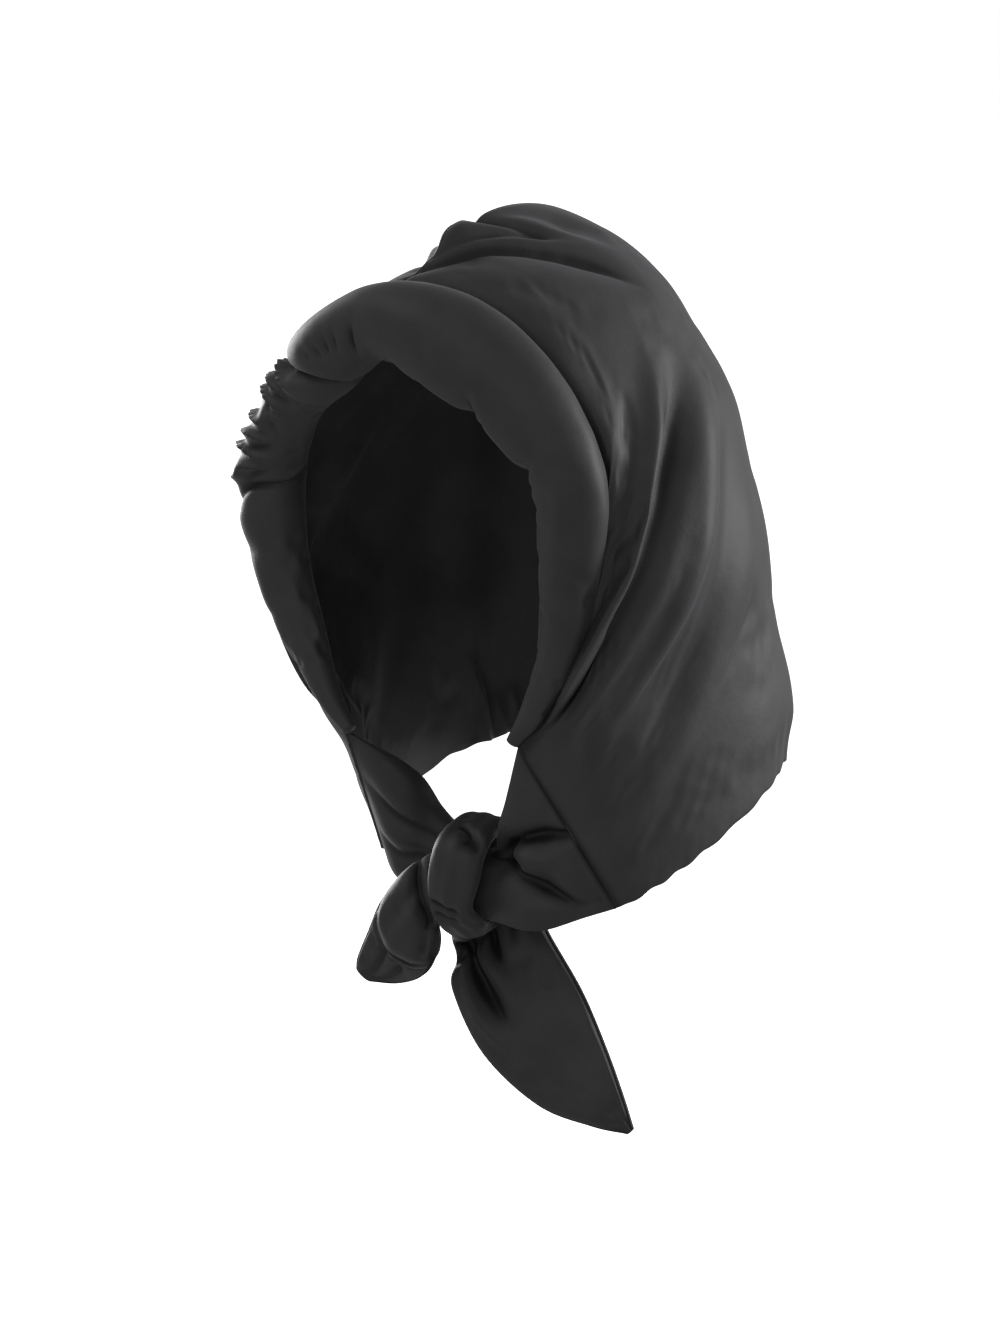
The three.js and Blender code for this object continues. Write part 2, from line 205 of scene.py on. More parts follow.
ROLL_LEFT = (
    RollRow(0, -124, -44.5, 18.5),
    RollRow(41, -120, -54, 25.5),
    RollRow(77, -110, -80, 23.5),
    RollRow(98, -98, -121, 18.5),
    RollRow(92, -91, -166, 15.5),
    RollRow(81, -85, -203, 10.5),
    RollRow(66, -86, -234, 6.5),
    RollRow(53, -87, -251, 3.5),
)
ROLL_RIGHT = (
    RollRow(0, -124, -44.5, 18.5),
    RollRow(36, -122, -63, 19),
    RollRow(71, -109, -88, 15.5),
    RollRow(95, -98, -124, 18),
    RollRow(95, -91, -166, 14.5),
    RollRow(85, -85, -203, 11),
    RollRow(68, -86, -234, 6.5),
    RollRow(53, -87, -251, 3.5),
)
ROLL_NOTCHES = (
    Notch(Side.LEFT, 0.06, -2.9, 4, 0.4, 1.6),
    Notch(Side.LEFT, 0.13, -2.7, 4, 0.35, 1.0),
    Notch(Side.LEFT, 0.24, -2.6, 4, 0.6, 5.0, 4.0),
    Notch(Side.LEFT, 0.265, -2.6, 3, 0.35, 1.6, 4.0),
    Notch(Side.LEFT, 0.385, -2.5, 4, 0.65, 6.0, 5.0),
    Notch(Side.LEFT, 0.41, -2.5, 3, 0.4, 2.0, 3.0),
    Notch(Side.LEFT, 0.46, -2.6, 3, 0.3, 0.9),
    Notch(Side.LEFT, 0.5, -2.5, 3, 0.3, 0.8),
    Notch(Side.LEFT, 0.55, -2.5, 3, 0.3, 1.0),
    Notch(Side.LEFT, 0.61, -2.5, 3, 0.3, 0.7),
    Notch(Side.RIGHT, 0.03, -2.0, 3, 0.45, 3.6, -8.0),
    Notch(Side.RIGHT, 0.065, -1.8, 2, 0.3, 2.2, -3.0),
    Notch(Side.RIGHT, 0.088, -1.75, 2, 0.3, 2.4, -1.0),
    Notch(Side.RIGHT, 0.11, -1.7, 2, 0.3, 2.2, 2.0),
    Notch(Side.RIGHT, 0.13, -1.6, 2, 0.25, 1.6, 3.0),
    Notch(Side.RIGHT, 0.182, -1.5, 4, 1.5, 9.0, 9.0),
    Notch(Side.RIGHT, 0.24, -1.9, 3, 0.6, 2.6, 10.0),
    Notch(Side.RIGHT, 0.3, -1.6, 3, 0.6, 2.0, -9.0),
    Notch(Side.RIGHT, 0.36, -1.7, 3, 0.6, 2.2, 12.0),
    Notch(Side.RIGHT, 0.41, -1.9, 3, 0.6, 2.6, 14.0),
    Notch(Side.RIGHT, 0.45, -1.5, 4, 1.7, 6.0, 7.0),
    Notch(Side.RIGHT, 0.55, -0.9, 5, 0.9, 1.0),
    Notch(Side.RIGHT, 0.66, -0.8, 5, 0.9, 0.8),
)

BOWS = (
    Bow(-64, 1, 112, 0.45, 0.1, 4, 0),
    Bow(-12, 9, 113, 0.45, 0.22, 6, 2),
    Bow(34, -2, 109, 0.35, 0.36, 6, 4),
    Bow(72, -32, 105, 0.25, 0.5, 4, 4),
    Bow(99, -84, 103, 0.15, 0.63, 2, 5),
    Bow(113, -140, 102, 0.08, 0.76, 2, 8),
    Bow(122, -200, 102, 0, 0.88, 2, 9),
    Bow(129, -256, 103, 0, 1, 0, 10),
)
STRAP_SEAM_FOOT = {Side.LEFT: (79, -37, -335), Side.RIGHT: (76, -33, -316)}

PANEL_FOLDS = (
    Fold(0.03, 0.02, 0.28, 0.2, 11, -4),
    Fold(0.12, 0.01, 0.3, 0.1, 10, -3.5),
    Fold(0.16, 0.4, 0.04, 0.72, 8, -1.5),
    Fold(0.245, 0.35, 0.025, 0.91, 9, 5),
    Fold(0.3, 0.38, 0.085, 0.93, 13, -10),
    Fold(0.37, 0.36, 0.33, 0.88, 20, 6),
)
FINE_FOLDS = (
    Fold(0.0, -0.03, 0.29, 0.22, 3.0, -4.5, 1.2),
    Fold(0.03, -0.02, 0.3, 0.16, 6, 2.2),
    Fold(0.04, -0.02, 0.24, 0.12, 2.6, -4.2, 1.2),
    Fold(0.09, -0.02, 0.24, 0.08, 5, 2.0),
    Fold(0.13, -0.03, 0.21, 0.1, 2.6, -3.6, 1.2),
    Fold(0.23, 0.385, 0.035, 0.88, 3.5, 1.6, 1.4),
    Fold(0.2, 0.5, 0.065, 0.91, 6, -3.5, 1.4),
    Fold(0.13, 0.7, 0.03, 1.0, 7, -5, 1.4),
    Fold(0.44, 0.4, 0.55, 0.86, 16, -2.2),
    Fold(0.56, 0.38, 0.66, 0.9, 18, 1.8),
    Fold(0.24, 0.9, 0.62, 0.97, 8, -1.2, 1.5),
    Fold(0.4, 0.84, 0.8, 0.9, 10, 1.0),
)

NAPE_PLEATS = (
    Pleat(0.52, 7, 4, 52),
    Pleat(0.47, 3, 3, 24),
    Pleat(0.43, 3.5, 3, 26),
    Pleat(0.39, 2.5, 3, 20),
    Pleat(0.33, 5, 5, 22),
    Pleat(0.26, 3, 4, 30),
    Pleat(0.17, 3.5, 4, 34),
    Pleat(0.08, 3, 4, 26),
)

KNOT_CENTRE = np.array([0.0, -63.0, -321.0])
KNOT_TURN = math.radians(20)
KNOT_ACROSS = np.array([math.cos(KNOT_TURN), math.sin(KNOT_TURN), 0.0])
KNOT_OUT = np.array([math.sin(KNOT_TURN), -math.cos(KNOT_TURN), 0.0])

LEFT_STRAP = (
    StrapRow((36, 51, 28), (68, -19, 8), 15, 2),
    StrapRow((29, 33, 18), (46, -26, 11), 21, 2),
    StrapRow((22, 15.5, 7), (25, -24, 6), 20, 1.5),
    StrapRow((4, 12, 0), (4, -20, 0), 21, 1),
    StrapRow((-12, 11, 1), (-9, -20, 1), 22, 1),
    StrapRow((-27, 2, 4), (-11, -34, 4), 29, 1.5),
    StrapRow((-41, -14, 3), (-15, -46, 1), 27, 1.5),
    StrapRow((-51, -31, -4), (-24, -54, -5), 20, 1),
    StrapRow((-59, -45, -10), (-38, -58, -10), 12, 0.5),
    StrapRow((-61, -52, -13), (-54, -58, -13), 5, 0),
)
RIGHT_STRAP = (
    StrapRow((-32, 48, -12), (-46, -8, -42), 26, 2),
    StrapRow((-20, 30, -21), (-28, -6, -31), 22, 2),
    StrapRow((-6, 18, -23), (-7, -9, -24), 17, 1),
    StrapRow((2, 22, -21), (17, 2, -21), 15, 1),
    StrapRow((-4, 25, -12), (22, 20, -13), 13, 1),
    StrapRow((-4, 24, 5), (22, 22, 5), 13, 1),
    StrapRow((-6, 15, 21.5), (21, 14.5, 22), 16, 1.5),
    StrapRow((-9, 0, 23), (17, -2, 23), 20, 1.5),
    StrapRow((-9, -14, 20), (12.5, -16, 20), 17, 1.5),
    StrapRow((-7, -24, 13), (15.5, -22, 13.5), 11, 1),
    StrapRow((-6, -29.5, 2), (15, -26, 1), 10, 1),
    StrapRow((-7, -36, -9), (20, -17.5, -12.5), 13, 1.5),
    StrapRow((-8, -46, -13), (30, -10, -17), 18, 2),
    StrapRow((-10, -61, -14), (41, -30, -14), 20, 2),
    StrapRow((8, -92, -10), (60, -58, -10), 17, 1),
    StrapRow((38, -116, -7), (74, -86, -7), 15, 0.5),
    StrapRow((67, -125, -5), (84, -110, -5), 10, 0),
    StrapRow((86, -128, -5), (89, -125, -5), 4, 0),
)
LEFT_CREASES = (
    Crease(0.0, -0.1, 0.28, 0.74, 2.6, 5.5, Face.WHOLE),
    Crease(0.06, 0.08, 0.27, 0.71, 6, 3.5, Face.WHOLE),
    Crease(0.1, -0.78, 0.27, 0.6, 2.6, 5.5, Face.WHOLE),
    Crease(0.13, -0.5, 0.26, 0.52, 6, 3.0, Face.WHOLE),
    Crease(0.05, -0.35, 0.22, 0.4, 6, -3.5, Face.WHOLE),
    Crease(0.17, 0.4, 0.34, 0.92, 2.4, 6.0, Face.FRONT),
    Crease(0.19, 0.1, 0.33, 0.86, 2.4, 6.0, Face.FRONT),
    Crease(0.02, -0.3, 0.1, -0.25, 2.5, 1.8, Face.FRONT),
    Crease(0.02, -0.85, 0.1, -0.8, 3, 1.6, Face.FRONT),
    Crease(0.5, 1.0, 0.52, -1.0, 2.6, 4.0, Face.FRONT),
    Crease(0.56, 1.0, 0.57, -1.0, 2.6, 6.0, Face.BOTH, 0.02),
    Crease(0.53, 0.9, 0.54, -0.2, 2.0, 2.2, Face.FRONT),
    Crease(0.7, 1.0, 0.69, -1.0, 2.2, 3.5, Face.BOTH, 0.07),
    Crease(0.66, 0.9, 0.65, -0.9, 5.0, -2.0, Face.BOTH, 0.06),
    Crease(0.59, -0.55, 0.69, -0.8, 3.0, 4.0, Face.FRONT),
    Crease(0.6, 0.2, 0.67, 0.35, 4.0, 1.6, Face.FRONT),
    Crease(0.78, 0.25, 0.97, 0.0, 2.4, 3.4, Face.BOTH),
    Crease(0.79, -0.35, 0.97, -0.45, 2.4, 3.4, Face.BOTH),
    Crease(0.78, -0.05, 0.95, -0.25, 3.5, -1.8, Face.BOTH),
)
RIGHT_CREASES = (
    Crease(0.36, 0.2, 0.39, -0.9, 2.0, 3.0, Face.FRONT),
    Crease(0.385, -0.2, 0.4, -0.95, 2.0, 2.6, Face.FRONT),
    Crease(0.485, 0.9, 0.5, -0.6, 2.0, 3.4, Face.FRONT),
    Crease(0.51, 0.8, 0.52, -0.4, 2.0, 3.0, Face.FRONT),
    Crease(0.42, 0.75, 0.52, 0.5, 3.0, 1.6, Face.FRONT),
    Crease(0.02, 0.3, 0.2, 0.35, 4.0, 3.5, Face.BOTH),
    Crease(0.03, -0.35, 0.2, -0.3, 4.0, 3.5, Face.BOTH),
    Crease(0.67, 0.75, 0.82, 0.34, 4.5, 7.0, Face.WHOLE),
    Crease(0.69, 0.64, 0.83, 0.28, 9.0, 6.0, Face.WHOLE),
    Crease(0.665, 0.2, 0.78, -0.05, 4.2, 7.0, Face.WHOLE),
    Crease(0.69, 0.05, 0.8, -0.1, 8.0, 3.5, Face.WHOLE),
    Crease(0.72, 0.88, 0.8, 0.76, 3.0, 3.0, Face.FRONT),
    Crease(0.69, -0.5, 0.77, -0.45, 3.0, 3.5, Face.WHOLE),
    Crease(0.74, 0.45, 0.8, 0.05, 4.0, -2.5, Face.WHOLE),
    Crease(0.74, 0.85, 0.84, 0.6, 4.5, -3.0, Face.WHOLE),
)


def smooth(value: np.ndarray, low: float, high: float) -> np.ndarray:
    """Ramp from 0 at low to 1 at high with level ends.

    Args:
        value: Values to map.
        low: Where the ramp starts.
        high: Where the ramp ends.

    Returns:
        The ramp at each value.
    """
    share = np.clip((value - low) / (high - low), 0.0, 1.0)
    return share * share * (3.0 - 2.0 * share)


def along(rows: np.ndarray, share: np.ndarray) -> np.ndarray:
    """Smooth curve through rows, met at equal shares.

    Args:
        rows: One row of values for each place.
        share: Shares of the way down the rows.

    Returns:
        A row of values for each share.
    """
    ends = [2 * rows[:1] - rows[1:2], rows, 2 * rows[-1:] - rows[-2:-1]]
    padded = np.concatenate(ends)
    place = np.clip(share, 0.0, 1.0) * (len(rows) - 1)
    row = np.minimum(place.astype(int), len(rows) - 2)
    rest = (place - row)[..., None]
    before, here, following, after = (padded[row + step] for step in range(4))
    slope = 0.5 * (following - before)
    next_slope = 0.5 * (after - here)
    turn = 3 * (following - here) - 2 * slope - next_slope
    twist = 2 * (here - following) + slope + next_slope
    return here + slope * rest + turn * rest**2 + twist * rest**3


def unit(vectors: np.ndarray) -> np.ndarray:
    """Vectors brought to length 1."""
    return vectors / np.maximum(np.linalg.norm(vectors, axis=-1, keepdims=True), 1e-9)


def run_lengths(points: np.ndarray, axis: int) -> np.ndarray:
    """Length run along a grid of points.

    Args:
        points: Grid of points.
        axis: Axis of the grid to run along.

    Returns:
        The length at each point, 0 at the first.
    """
    steps = np.linalg.norm(np.diff(points, axis=axis), axis=-1)
    shape = list(steps.shape)
    shape[axis] = 1
    return np.concatenate([np.zeros(shape), np.cumsum(steps, axis=axis)], axis=axis)


def valley_depth(height: np.ndarray, wrap: bool, reach: int) -> np.ndarray:
    """How far each place of a grid lies below its surroundings.

    Args:
        height: Height of each place.
        wrap: Whether the second axis of the grid closes on itself.
        reach: How many steps the surroundings spread.

    Returns:
        Depth of each place, 0 on ridges.
    """
    kept = 0.5
    taken = (1 - kept) / 4
    blurred = height
    for _ in range(reach):
        padded = np.pad(blurred, ((1, 1), (0, 0)), mode="edge")
        padded = np.pad(padded, ((0, 0), (1, 1)), mode="wrap" if wrap else "edge")
        sides = padded[1:-1, :-2] + padded[1:-1, 2:]
        ends = padded[:-2, 1:-1] + padded[2:, 1:-1]
        blurred = kept * blurred + taken * (sides + ends)
    return np.maximum(blurred - height, 0.0)


def crease_shade(height: np.ndarray, wrap: bool, shade: Shade) -> np.ndarray:
    """Painted shade of the creases in a grid of heights.

    Args:
        height: Height of each place.
        wrap: Whether the second axis of the grid closes on itself.
        shade: How the painted shade darkens creases.

    Returns:
        Painted shade of each place, from 0 to 1.
    """
    return smooth(valley_depth(height, wrap, shade.reach), shade.first, shade.full)


def beside_line(
    first: np.ndarray,
    second: np.ndarray,
    run_first: np.ndarray | float,
    run_second: np.ndarray | float,
) -> tuple[np.ndarray, np.ndarray]:
    """Place of points beside a straight line on the cloth.

    Args:
        first: Distance of each point from the line's start along the cloth's first axis.
        second: The same along its second axis.
        run_first: How far the line runs along the first axis.
        run_second: The same along the second axis.

    Returns:
        Share of the way along the line, and distance aside from it.
    """
    squared = run_first**2 + run_second**2
    share = (first * run_first + second * run_second) / squared
    aside = (first * run_second - second * run_first) / np.sqrt(squared)
    return share, aside


def rounded(aside: np.ndarray, radius: float) -> np.ndarray:
    """Distances aside from a fold, with the fold's tip rounded."""
    return np.sqrt(aside**2 + radius**2) - radius


def turn_from(start: float, angle: np.ndarray) -> np.ndarray:
    """Turn from one angle to others, from -pi to pi."""
    return np.angle(np.exp(1j * (angle - start)))


def ring_angles(amount: int) -> np.ndarray:
    """Angles round a ring, in the middle of equal steps."""
    return 2 * math.pi * (np.arange(amount) + 0.5) / amount


@dataclass(frozen=True)
class Crumple:
    """Soft uneven waves in space, the same each time for a seed."""

    length: float
    seed: int
    height: float
    stretch: tuple[float, float, float] = (1.0, 1.0, 1.0)
    waves: int = 9
    pitches: Span = (0.7, 1.5)

    def at(self, points: np.ndarray) -> np.ndarray:
        """Height of the waves at points."""
        draw = np.random.default_rng(self.seed)
        total = np.zeros(points.shape[:-1])
        scaled = points / np.array(self.stretch)
        for _ in range(self.waves):
            direction = unit(draw.normal(size=3))
            pitch = self.length * draw.uniform(*self.pitches)
            phase = draw.uniform(0, 2 * math.pi)
            total += np.sin(2 * math.pi * (scaled @ direction) / pitch + phase)
        return self.height * total / math.sqrt(self.waves)


class ClothMesh:
    """Builds an object from grids of points, with a UV map in metres of cloth and a point attribute of
    painted shade.
    """

    def __init__(self, name: str) -> None:
        """Starts an empty mesh with a piece's name."""
        self.name = name
        self.points: list[np.ndarray] = []
        self.uvs: list[np.ndarray] = []
        # Painted shade of each point, from 0 to 1
        self.creases: list[np.ndarray] = []
        self.faces: list[tuple[int, ...]] = []
        self.count = 0

    def add_points(self, points: np.ndarray, uvs: np.ndarray, crease: np.ndarray) -> np.ndarray:
        """Adds points with their place on the cloth.

        Args:
            points: Points in millimetres.
            uvs: Place on the cloth of each point, in millimetres.
            crease: Painted shade of each point, from 0 to 1.

        Returns:
            The numbers of the points, in the shape of the grid.
        """
        shape = points.shape[:-1]
        amount = int(np.prod(shape))
        numbers = np.arange(self.count, self.count + amount).reshape(shape)
        self.points.append(points.reshape(-1, 3))
        self.uvs.append(uvs.reshape(-1, 2))
        self.creases.append(np.clip(crease, 0.0, 1.0).reshape(-1))
        self.count += amount
        return numbers

    def add_grid(self, numbers: np.ndarray, flip: bool = False) -> None:
        """Adds a quad for each cell of a grid of point numbers."""
        corners = [numbers[:-1, :-1], numbers[1:, :-1], numbers[1:, 1:], numbers[:-1, 1:]]
        if flip:
            corners.reverse()
        quads = np.stack([corner.ravel() for corner in corners], axis=1)
        self.faces.extend(map(tuple, quads.tolist()))

    def add_fan(self, loop: np.ndarray, centre: int, flip: bool = False) -> None:
        """Closes a loop of point numbers round a centre point."""
        following = np.roll(loop, -1)
        for here, after in zip(loop.tolist(), following.tolist()):
            self.faces.append((after, here, centre) if flip else (here, after, centre))

    def add_tube(self, rings: np.ndarray, centres: np.ndarray, uvs: np.ndarray) -> None:
        """Joins rings of point numbers to a tube and closes both of its ends.

        Args:
            rings: Point numbers, a row for each ring.
            centres: Middle of each ring.
            uvs: Place on the cloth for the middle of each ring.
        """
        self.add_grid(np.concatenate([rings, rings[:, :1]], axis=1))
        for end, flip in ((0, False), (-1, True)):
            tip = self.add_points(centres[end][None], uvs[end][None], np.zeros(1))
            self.add_fan(rings[end], int(tip[0]), flip)

    def build(self) -> bpy.types.Object:
        """Makes the object.

        Returns:
            The new object, at the origin, with its faces turned outwards.
        """
        points = np.concatenate(self.points) * MM
        uvs = np.concatenate(self.uvs) * MM
        mesh = bpy.data.meshes.new(self.name)
        mesh.from_pydata(points.tolist(), [], self.faces)
        corner_points = np.empty(len(mesh.loops), dtype=np.int64)
        mesh.loops.foreach_get("vertex_index", corner_points)
        layer = mesh.uv_layers.new(name=UV_NAME)
        layer.data.foreach_set("uv", uvs[corner_points].astype(np.float32).ravel())
        # Painted shade, kept as a point attribute that darkens the base colour
        depth = mesh.attributes.new(PAINTED_SHADE_ATTRIBUTE, "FLOAT", "POINT")
        depth.data.foreach_set("value", np.concatenate(self.creases).astype(np.float32))
        mesh.polygons.foreach_set("use_smooth", np.ones(len(mesh.polygons), dtype=bool))
        mesh.update()
        piece = bpy.data.objects.new(self.name, mesh)
        bpy.context.scene.collection.objects.link(piece)
        turn_outwards(piece)
        return piece


def turn_outwards(piece: bpy.types.Object) -> None:
    """Turns all faces of a closed piece outwards."""
    bpy.ops.object.select_all(action="DESELECT")
    piece.select_set(True)
    bpy.context.view_layer.objects.active = piece
    bpy.ops.object.mode_set(mode="EDIT")
    bpy.ops.mesh.select_all(action="SELECT")
    bpy.ops.mesh.normals_make_consistent(inside=False)
    bpy.ops.object.mode_set(mode="OBJECT")


@dataclass(frozen=True)
class PaddingEase:
    """Cloth simulation that blows up the padding of a coarse copy of a piece a little.

    The cloth is cut with some slack, seams hold it, and no point moves further than the cap.
    """

    slack: float
    cap: float
    pressure: float = 4.0
    frames: int = 20
    quality: int = 5
    mass: float = 0.02

    def moves(self, piece: bpy.types.Object, held: np.ndarray) -> np.ndarray:
        """Runs the simulation on the coarse copy and takes the copy away.

        Args:
            piece: The coarse copy.
            held: How firmly each of its points is held, from 0 to 1.

        Returns:
            Move of each point, in millimetres.
        """
        before = self.places(piece.data)
        seams = piece.vertex_groups.new(name="held")
        for number, weight in enumerate(held.tolist()):
            seams.add([number], weight, "REPLACE")
        cloth = piece.modifiers.new("padding", "CLOTH")
        cloth.settings.quality = self.quality
        cloth.settings.mass = self.mass
        cloth.settings.use_pressure = True
        cloth.settings.uniform_pressure_force = self.pressure
        cloth.settings.shrink_min = -self.slack
        cloth.settings.vertex_group_mass = seams.name
        cloth.settings.effector_weights.gravity = 0.0
        cloth.collision_settings.use_collision = False
        cloth.point_cache.frame_start = 1
        cloth.point_cache.frame_end = self.frames
        scene = bpy.context.scene
        for number in range(1, self.frames + 1):
            scene.frame_set(number)
        eased = piece.evaluated_get(bpy.context.evaluated_depsgraph_get())
        moves = (self.places(eased.to_mesh()) - before) / MM
        eased.to_mesh_clear()
        name = piece.name
        bpy.data.objects.remove(piece)
        scene.frame_set(1)
        length = np.linalg.norm(moves, axis=-1, keepdims=True)
        LOG.info("%s eased by up to %.1f mm", name, float(length.max()))
        return moves * np.minimum(1.0, self.cap / np.maximum(length, 1e-6))

    @staticmethod
    def places(mesh: bpy.types.Mesh) -> np.ndarray:
        """Places of a mesh's points."""
        flat = np.empty(3 * len(mesh.vertices), dtype=np.float32)
        mesh.vertices.foreach_get("co", flat)
        return flat.reshape(-1, 3).astype(float)


def refined(moves: np.ndarray, rows: int, columns: int, wrap: bool) -> np.ndarray:
    """Moves of a coarse grid brought to a finer one on smooth curves.

    Args:
        moves: Move of each point of the coarse grid.
        rows: Points of the finer grid along its first axis.
        columns: Points of the finer grid along its second axis.
        wrap: Whether the second axis closes on itself, with places in the middle of its steps.

    Returns:
        Move of each point of the finer grid.
    """
    amount = moves.shape[1]
    down = along(moves.reshape(len(moves), -1), np.linspace(0, 1, rows)).reshape(rows, amount, 3)
    share = np.linspace(0, 1, columns)
    if wrap:
        down = np.concatenate([down[:, -2:], down, down[:, :2]], axis=1)
        place = (np.arange(columns) + 0.5) * amount / columns - 0.5
        share = (place + 2) / (amount + 3)
    lines = down.transpose(1, 0, 2).reshape(down.shape[1], -1)
    return along(lines, share).reshape(columns, rows, 3).transpose(1, 0, 2)


@dataclass(frozen=True)
class Nylon:
    """Black padded nylon: fine weave, soft sheen, slight crinkles and painted shade read from each
    piece.
    """

    name: str
    colour: tuple[float, float, float] = (0.031, 0.031, 0.033)
    tones: Span = (0.8, 1.25)
    tone_places: Span = (0.3, 0.72)
    # Tone of the painted shade, as a share of the cloth's colour
    painted_shade_tone: float = 0.12
    cloud_scale: float = 34.0
    cloud_detail: float = 4.0
    roughness: Span = (0.51, 0.63)
    specular: float = 0.36
    sheen: float = 0.14
    sheen_roughness: float = 0.35
    sheen_tint: tuple[float, float, float] = (0.8, 0.82, 0.86)
    crinkle: float = 0.1
    crinkle_depth: float = 0.002
    crinkle_scale: float = 150.0
    crinkle_detail: float = 3.0
    crinkle_roughness: float = 0.55
    thread: float = 0.0009
    weave: float = 0.12
    weave_depth: float = 0.0002
    weave_distortion: float = 0.4

    def toned(self, tone: float) -> tuple[float, float, float, float]:
        """The cloth's colour made darker or brighter."""
        red, green, blue = self.colour
        return tone * red, tone * green, tone * blue, 1.0

    def material(self) -> bpy.types.Material:
        """Makes the cloth's material.

        Returns:
            A new material that reads the piece's own map of its cloth.
        """
        cloth = bpy.data.materials.new(self.name)
        cloth.use_nodes = True
        nodes = cloth.node_tree.nodes
        links = cloth.node_tree.links
        shader = nodes["Principled BSDF"]
        shader.inputs["Specular IOR Level"].default_value = self.specular
        shader.inputs["Sheen Weight"].default_value = self.sheen
        shader.inputs["Sheen Roughness"].default_value = self.sheen_roughness
        shader.inputs["Sheen Tint"].default_value = (*self.sheen_tint, 1.0)

        place = nodes.new("ShaderNodeUVMap")
        place.uv_map = UV_NAME
        solid_place = nodes.new("ShaderNodeTexCoord")

        cloud = nodes.new("ShaderNodeTexNoise")
        cloud.inputs["Scale"].default_value = self.cloud_scale
        cloud.inputs["Detail"].default_value = self.cloud_detail
        links.new(solid_place.outputs["Object"], cloud.inputs["Vector"])

        tone = nodes.new("ShaderNodeValToRGB")
        for stop, place_of_tone, amount in zip(tone.color_ramp.elements, self.tone_places, self.tones):
            stop.position = place_of_tone
            stop.color = self.toned(amount)
        links.new(cloud.outputs["Fac"], tone.inputs["Fac"])

        # Painted shade: the point attribute darkens the base colour towards the painted shade tone
        crease = nodes.new("ShaderNodeAttribute")
        crease.attribute_name = PAINTED_SHADE_ATTRIBUTE
        shade = nodes.new("ShaderNodeMix")
        shade.data_type = "RGBA"
        shade.inputs["B"].default_value = self.toned(self.painted_shade_tone)
        links.new(crease.outputs["Fac"], shade.inputs["Factor"])
        links.new(tone.outputs["Color"], shade.inputs["A"])
        links.new(shade.outputs["Result"], shader.inputs["Base Color"])

        gloss = nodes.new("ShaderNodeMapRange")
        gloss.inputs["To Min"].default_value = self.roughness[0]
        gloss.inputs["To Max"].default_value = self.roughness[1]
        links.new(cloud.outputs["Fac"], gloss.inputs["Value"])
        links.new(gloss.outputs["Result"], shader.inputs["Roughness"])

        ribs = []
        bands_per_scale = 10.0 / math.pi
        for direction in ("X", "Y"):
            rib = nodes.new("ShaderNodeTexWave")
            rib.bands_direction = direction
            rib.inputs["Scale"].default_value = 1.0 / (bands_per_scale * self.thread)
            rib.inputs["Distortion"].default_value = self.weave_distortion
            links.new(place.outputs["UV"], rib.inputs["Vector"])
            ribs.append(rib)
        crossing = nodes.new("ShaderNodeMath")
        crossing.operation = "MULTIPLY"
        links.new(ribs[0].outputs["Fac"], crossing.inputs[0])
        links.new(ribs[1].outputs["Fac"], crossing.inputs[1])

        crinkle = nodes.new("ShaderNodeTexNoise")
        crinkle.inputs["Scale"].default_value = self.crinkle_scale
        crinkle.inputs["Detail"].default_value = self.crinkle_detail
        crinkle.inputs["Roughness"].default_value = self.crinkle_roughness
        links.new(solid_place.outputs["Object"], crinkle.inputs["Vector"])

        soft = nodes.new("ShaderNodeBump")
        soft.inputs["Strength"].default_value = self.crinkle
        soft.inputs["Distance"].default_value = self.crinkle_depth
        links.new(crinkle.outputs["Fac"], soft.inputs["Height"])
        fine = nodes.new("ShaderNodeBump")
        fine.inputs["Strength"].default_value = self.weave
        fine.inputs["Distance"].default_value = self.weave_depth
        links.new(crossing.outputs["Value"], fine.inputs["Height"])
        links.new(soft.outputs["Normal"], fine.inputs["Normal"])
        links.new(fine.outputs["Normal"], shader.inputs["Normal"])
        return cloth


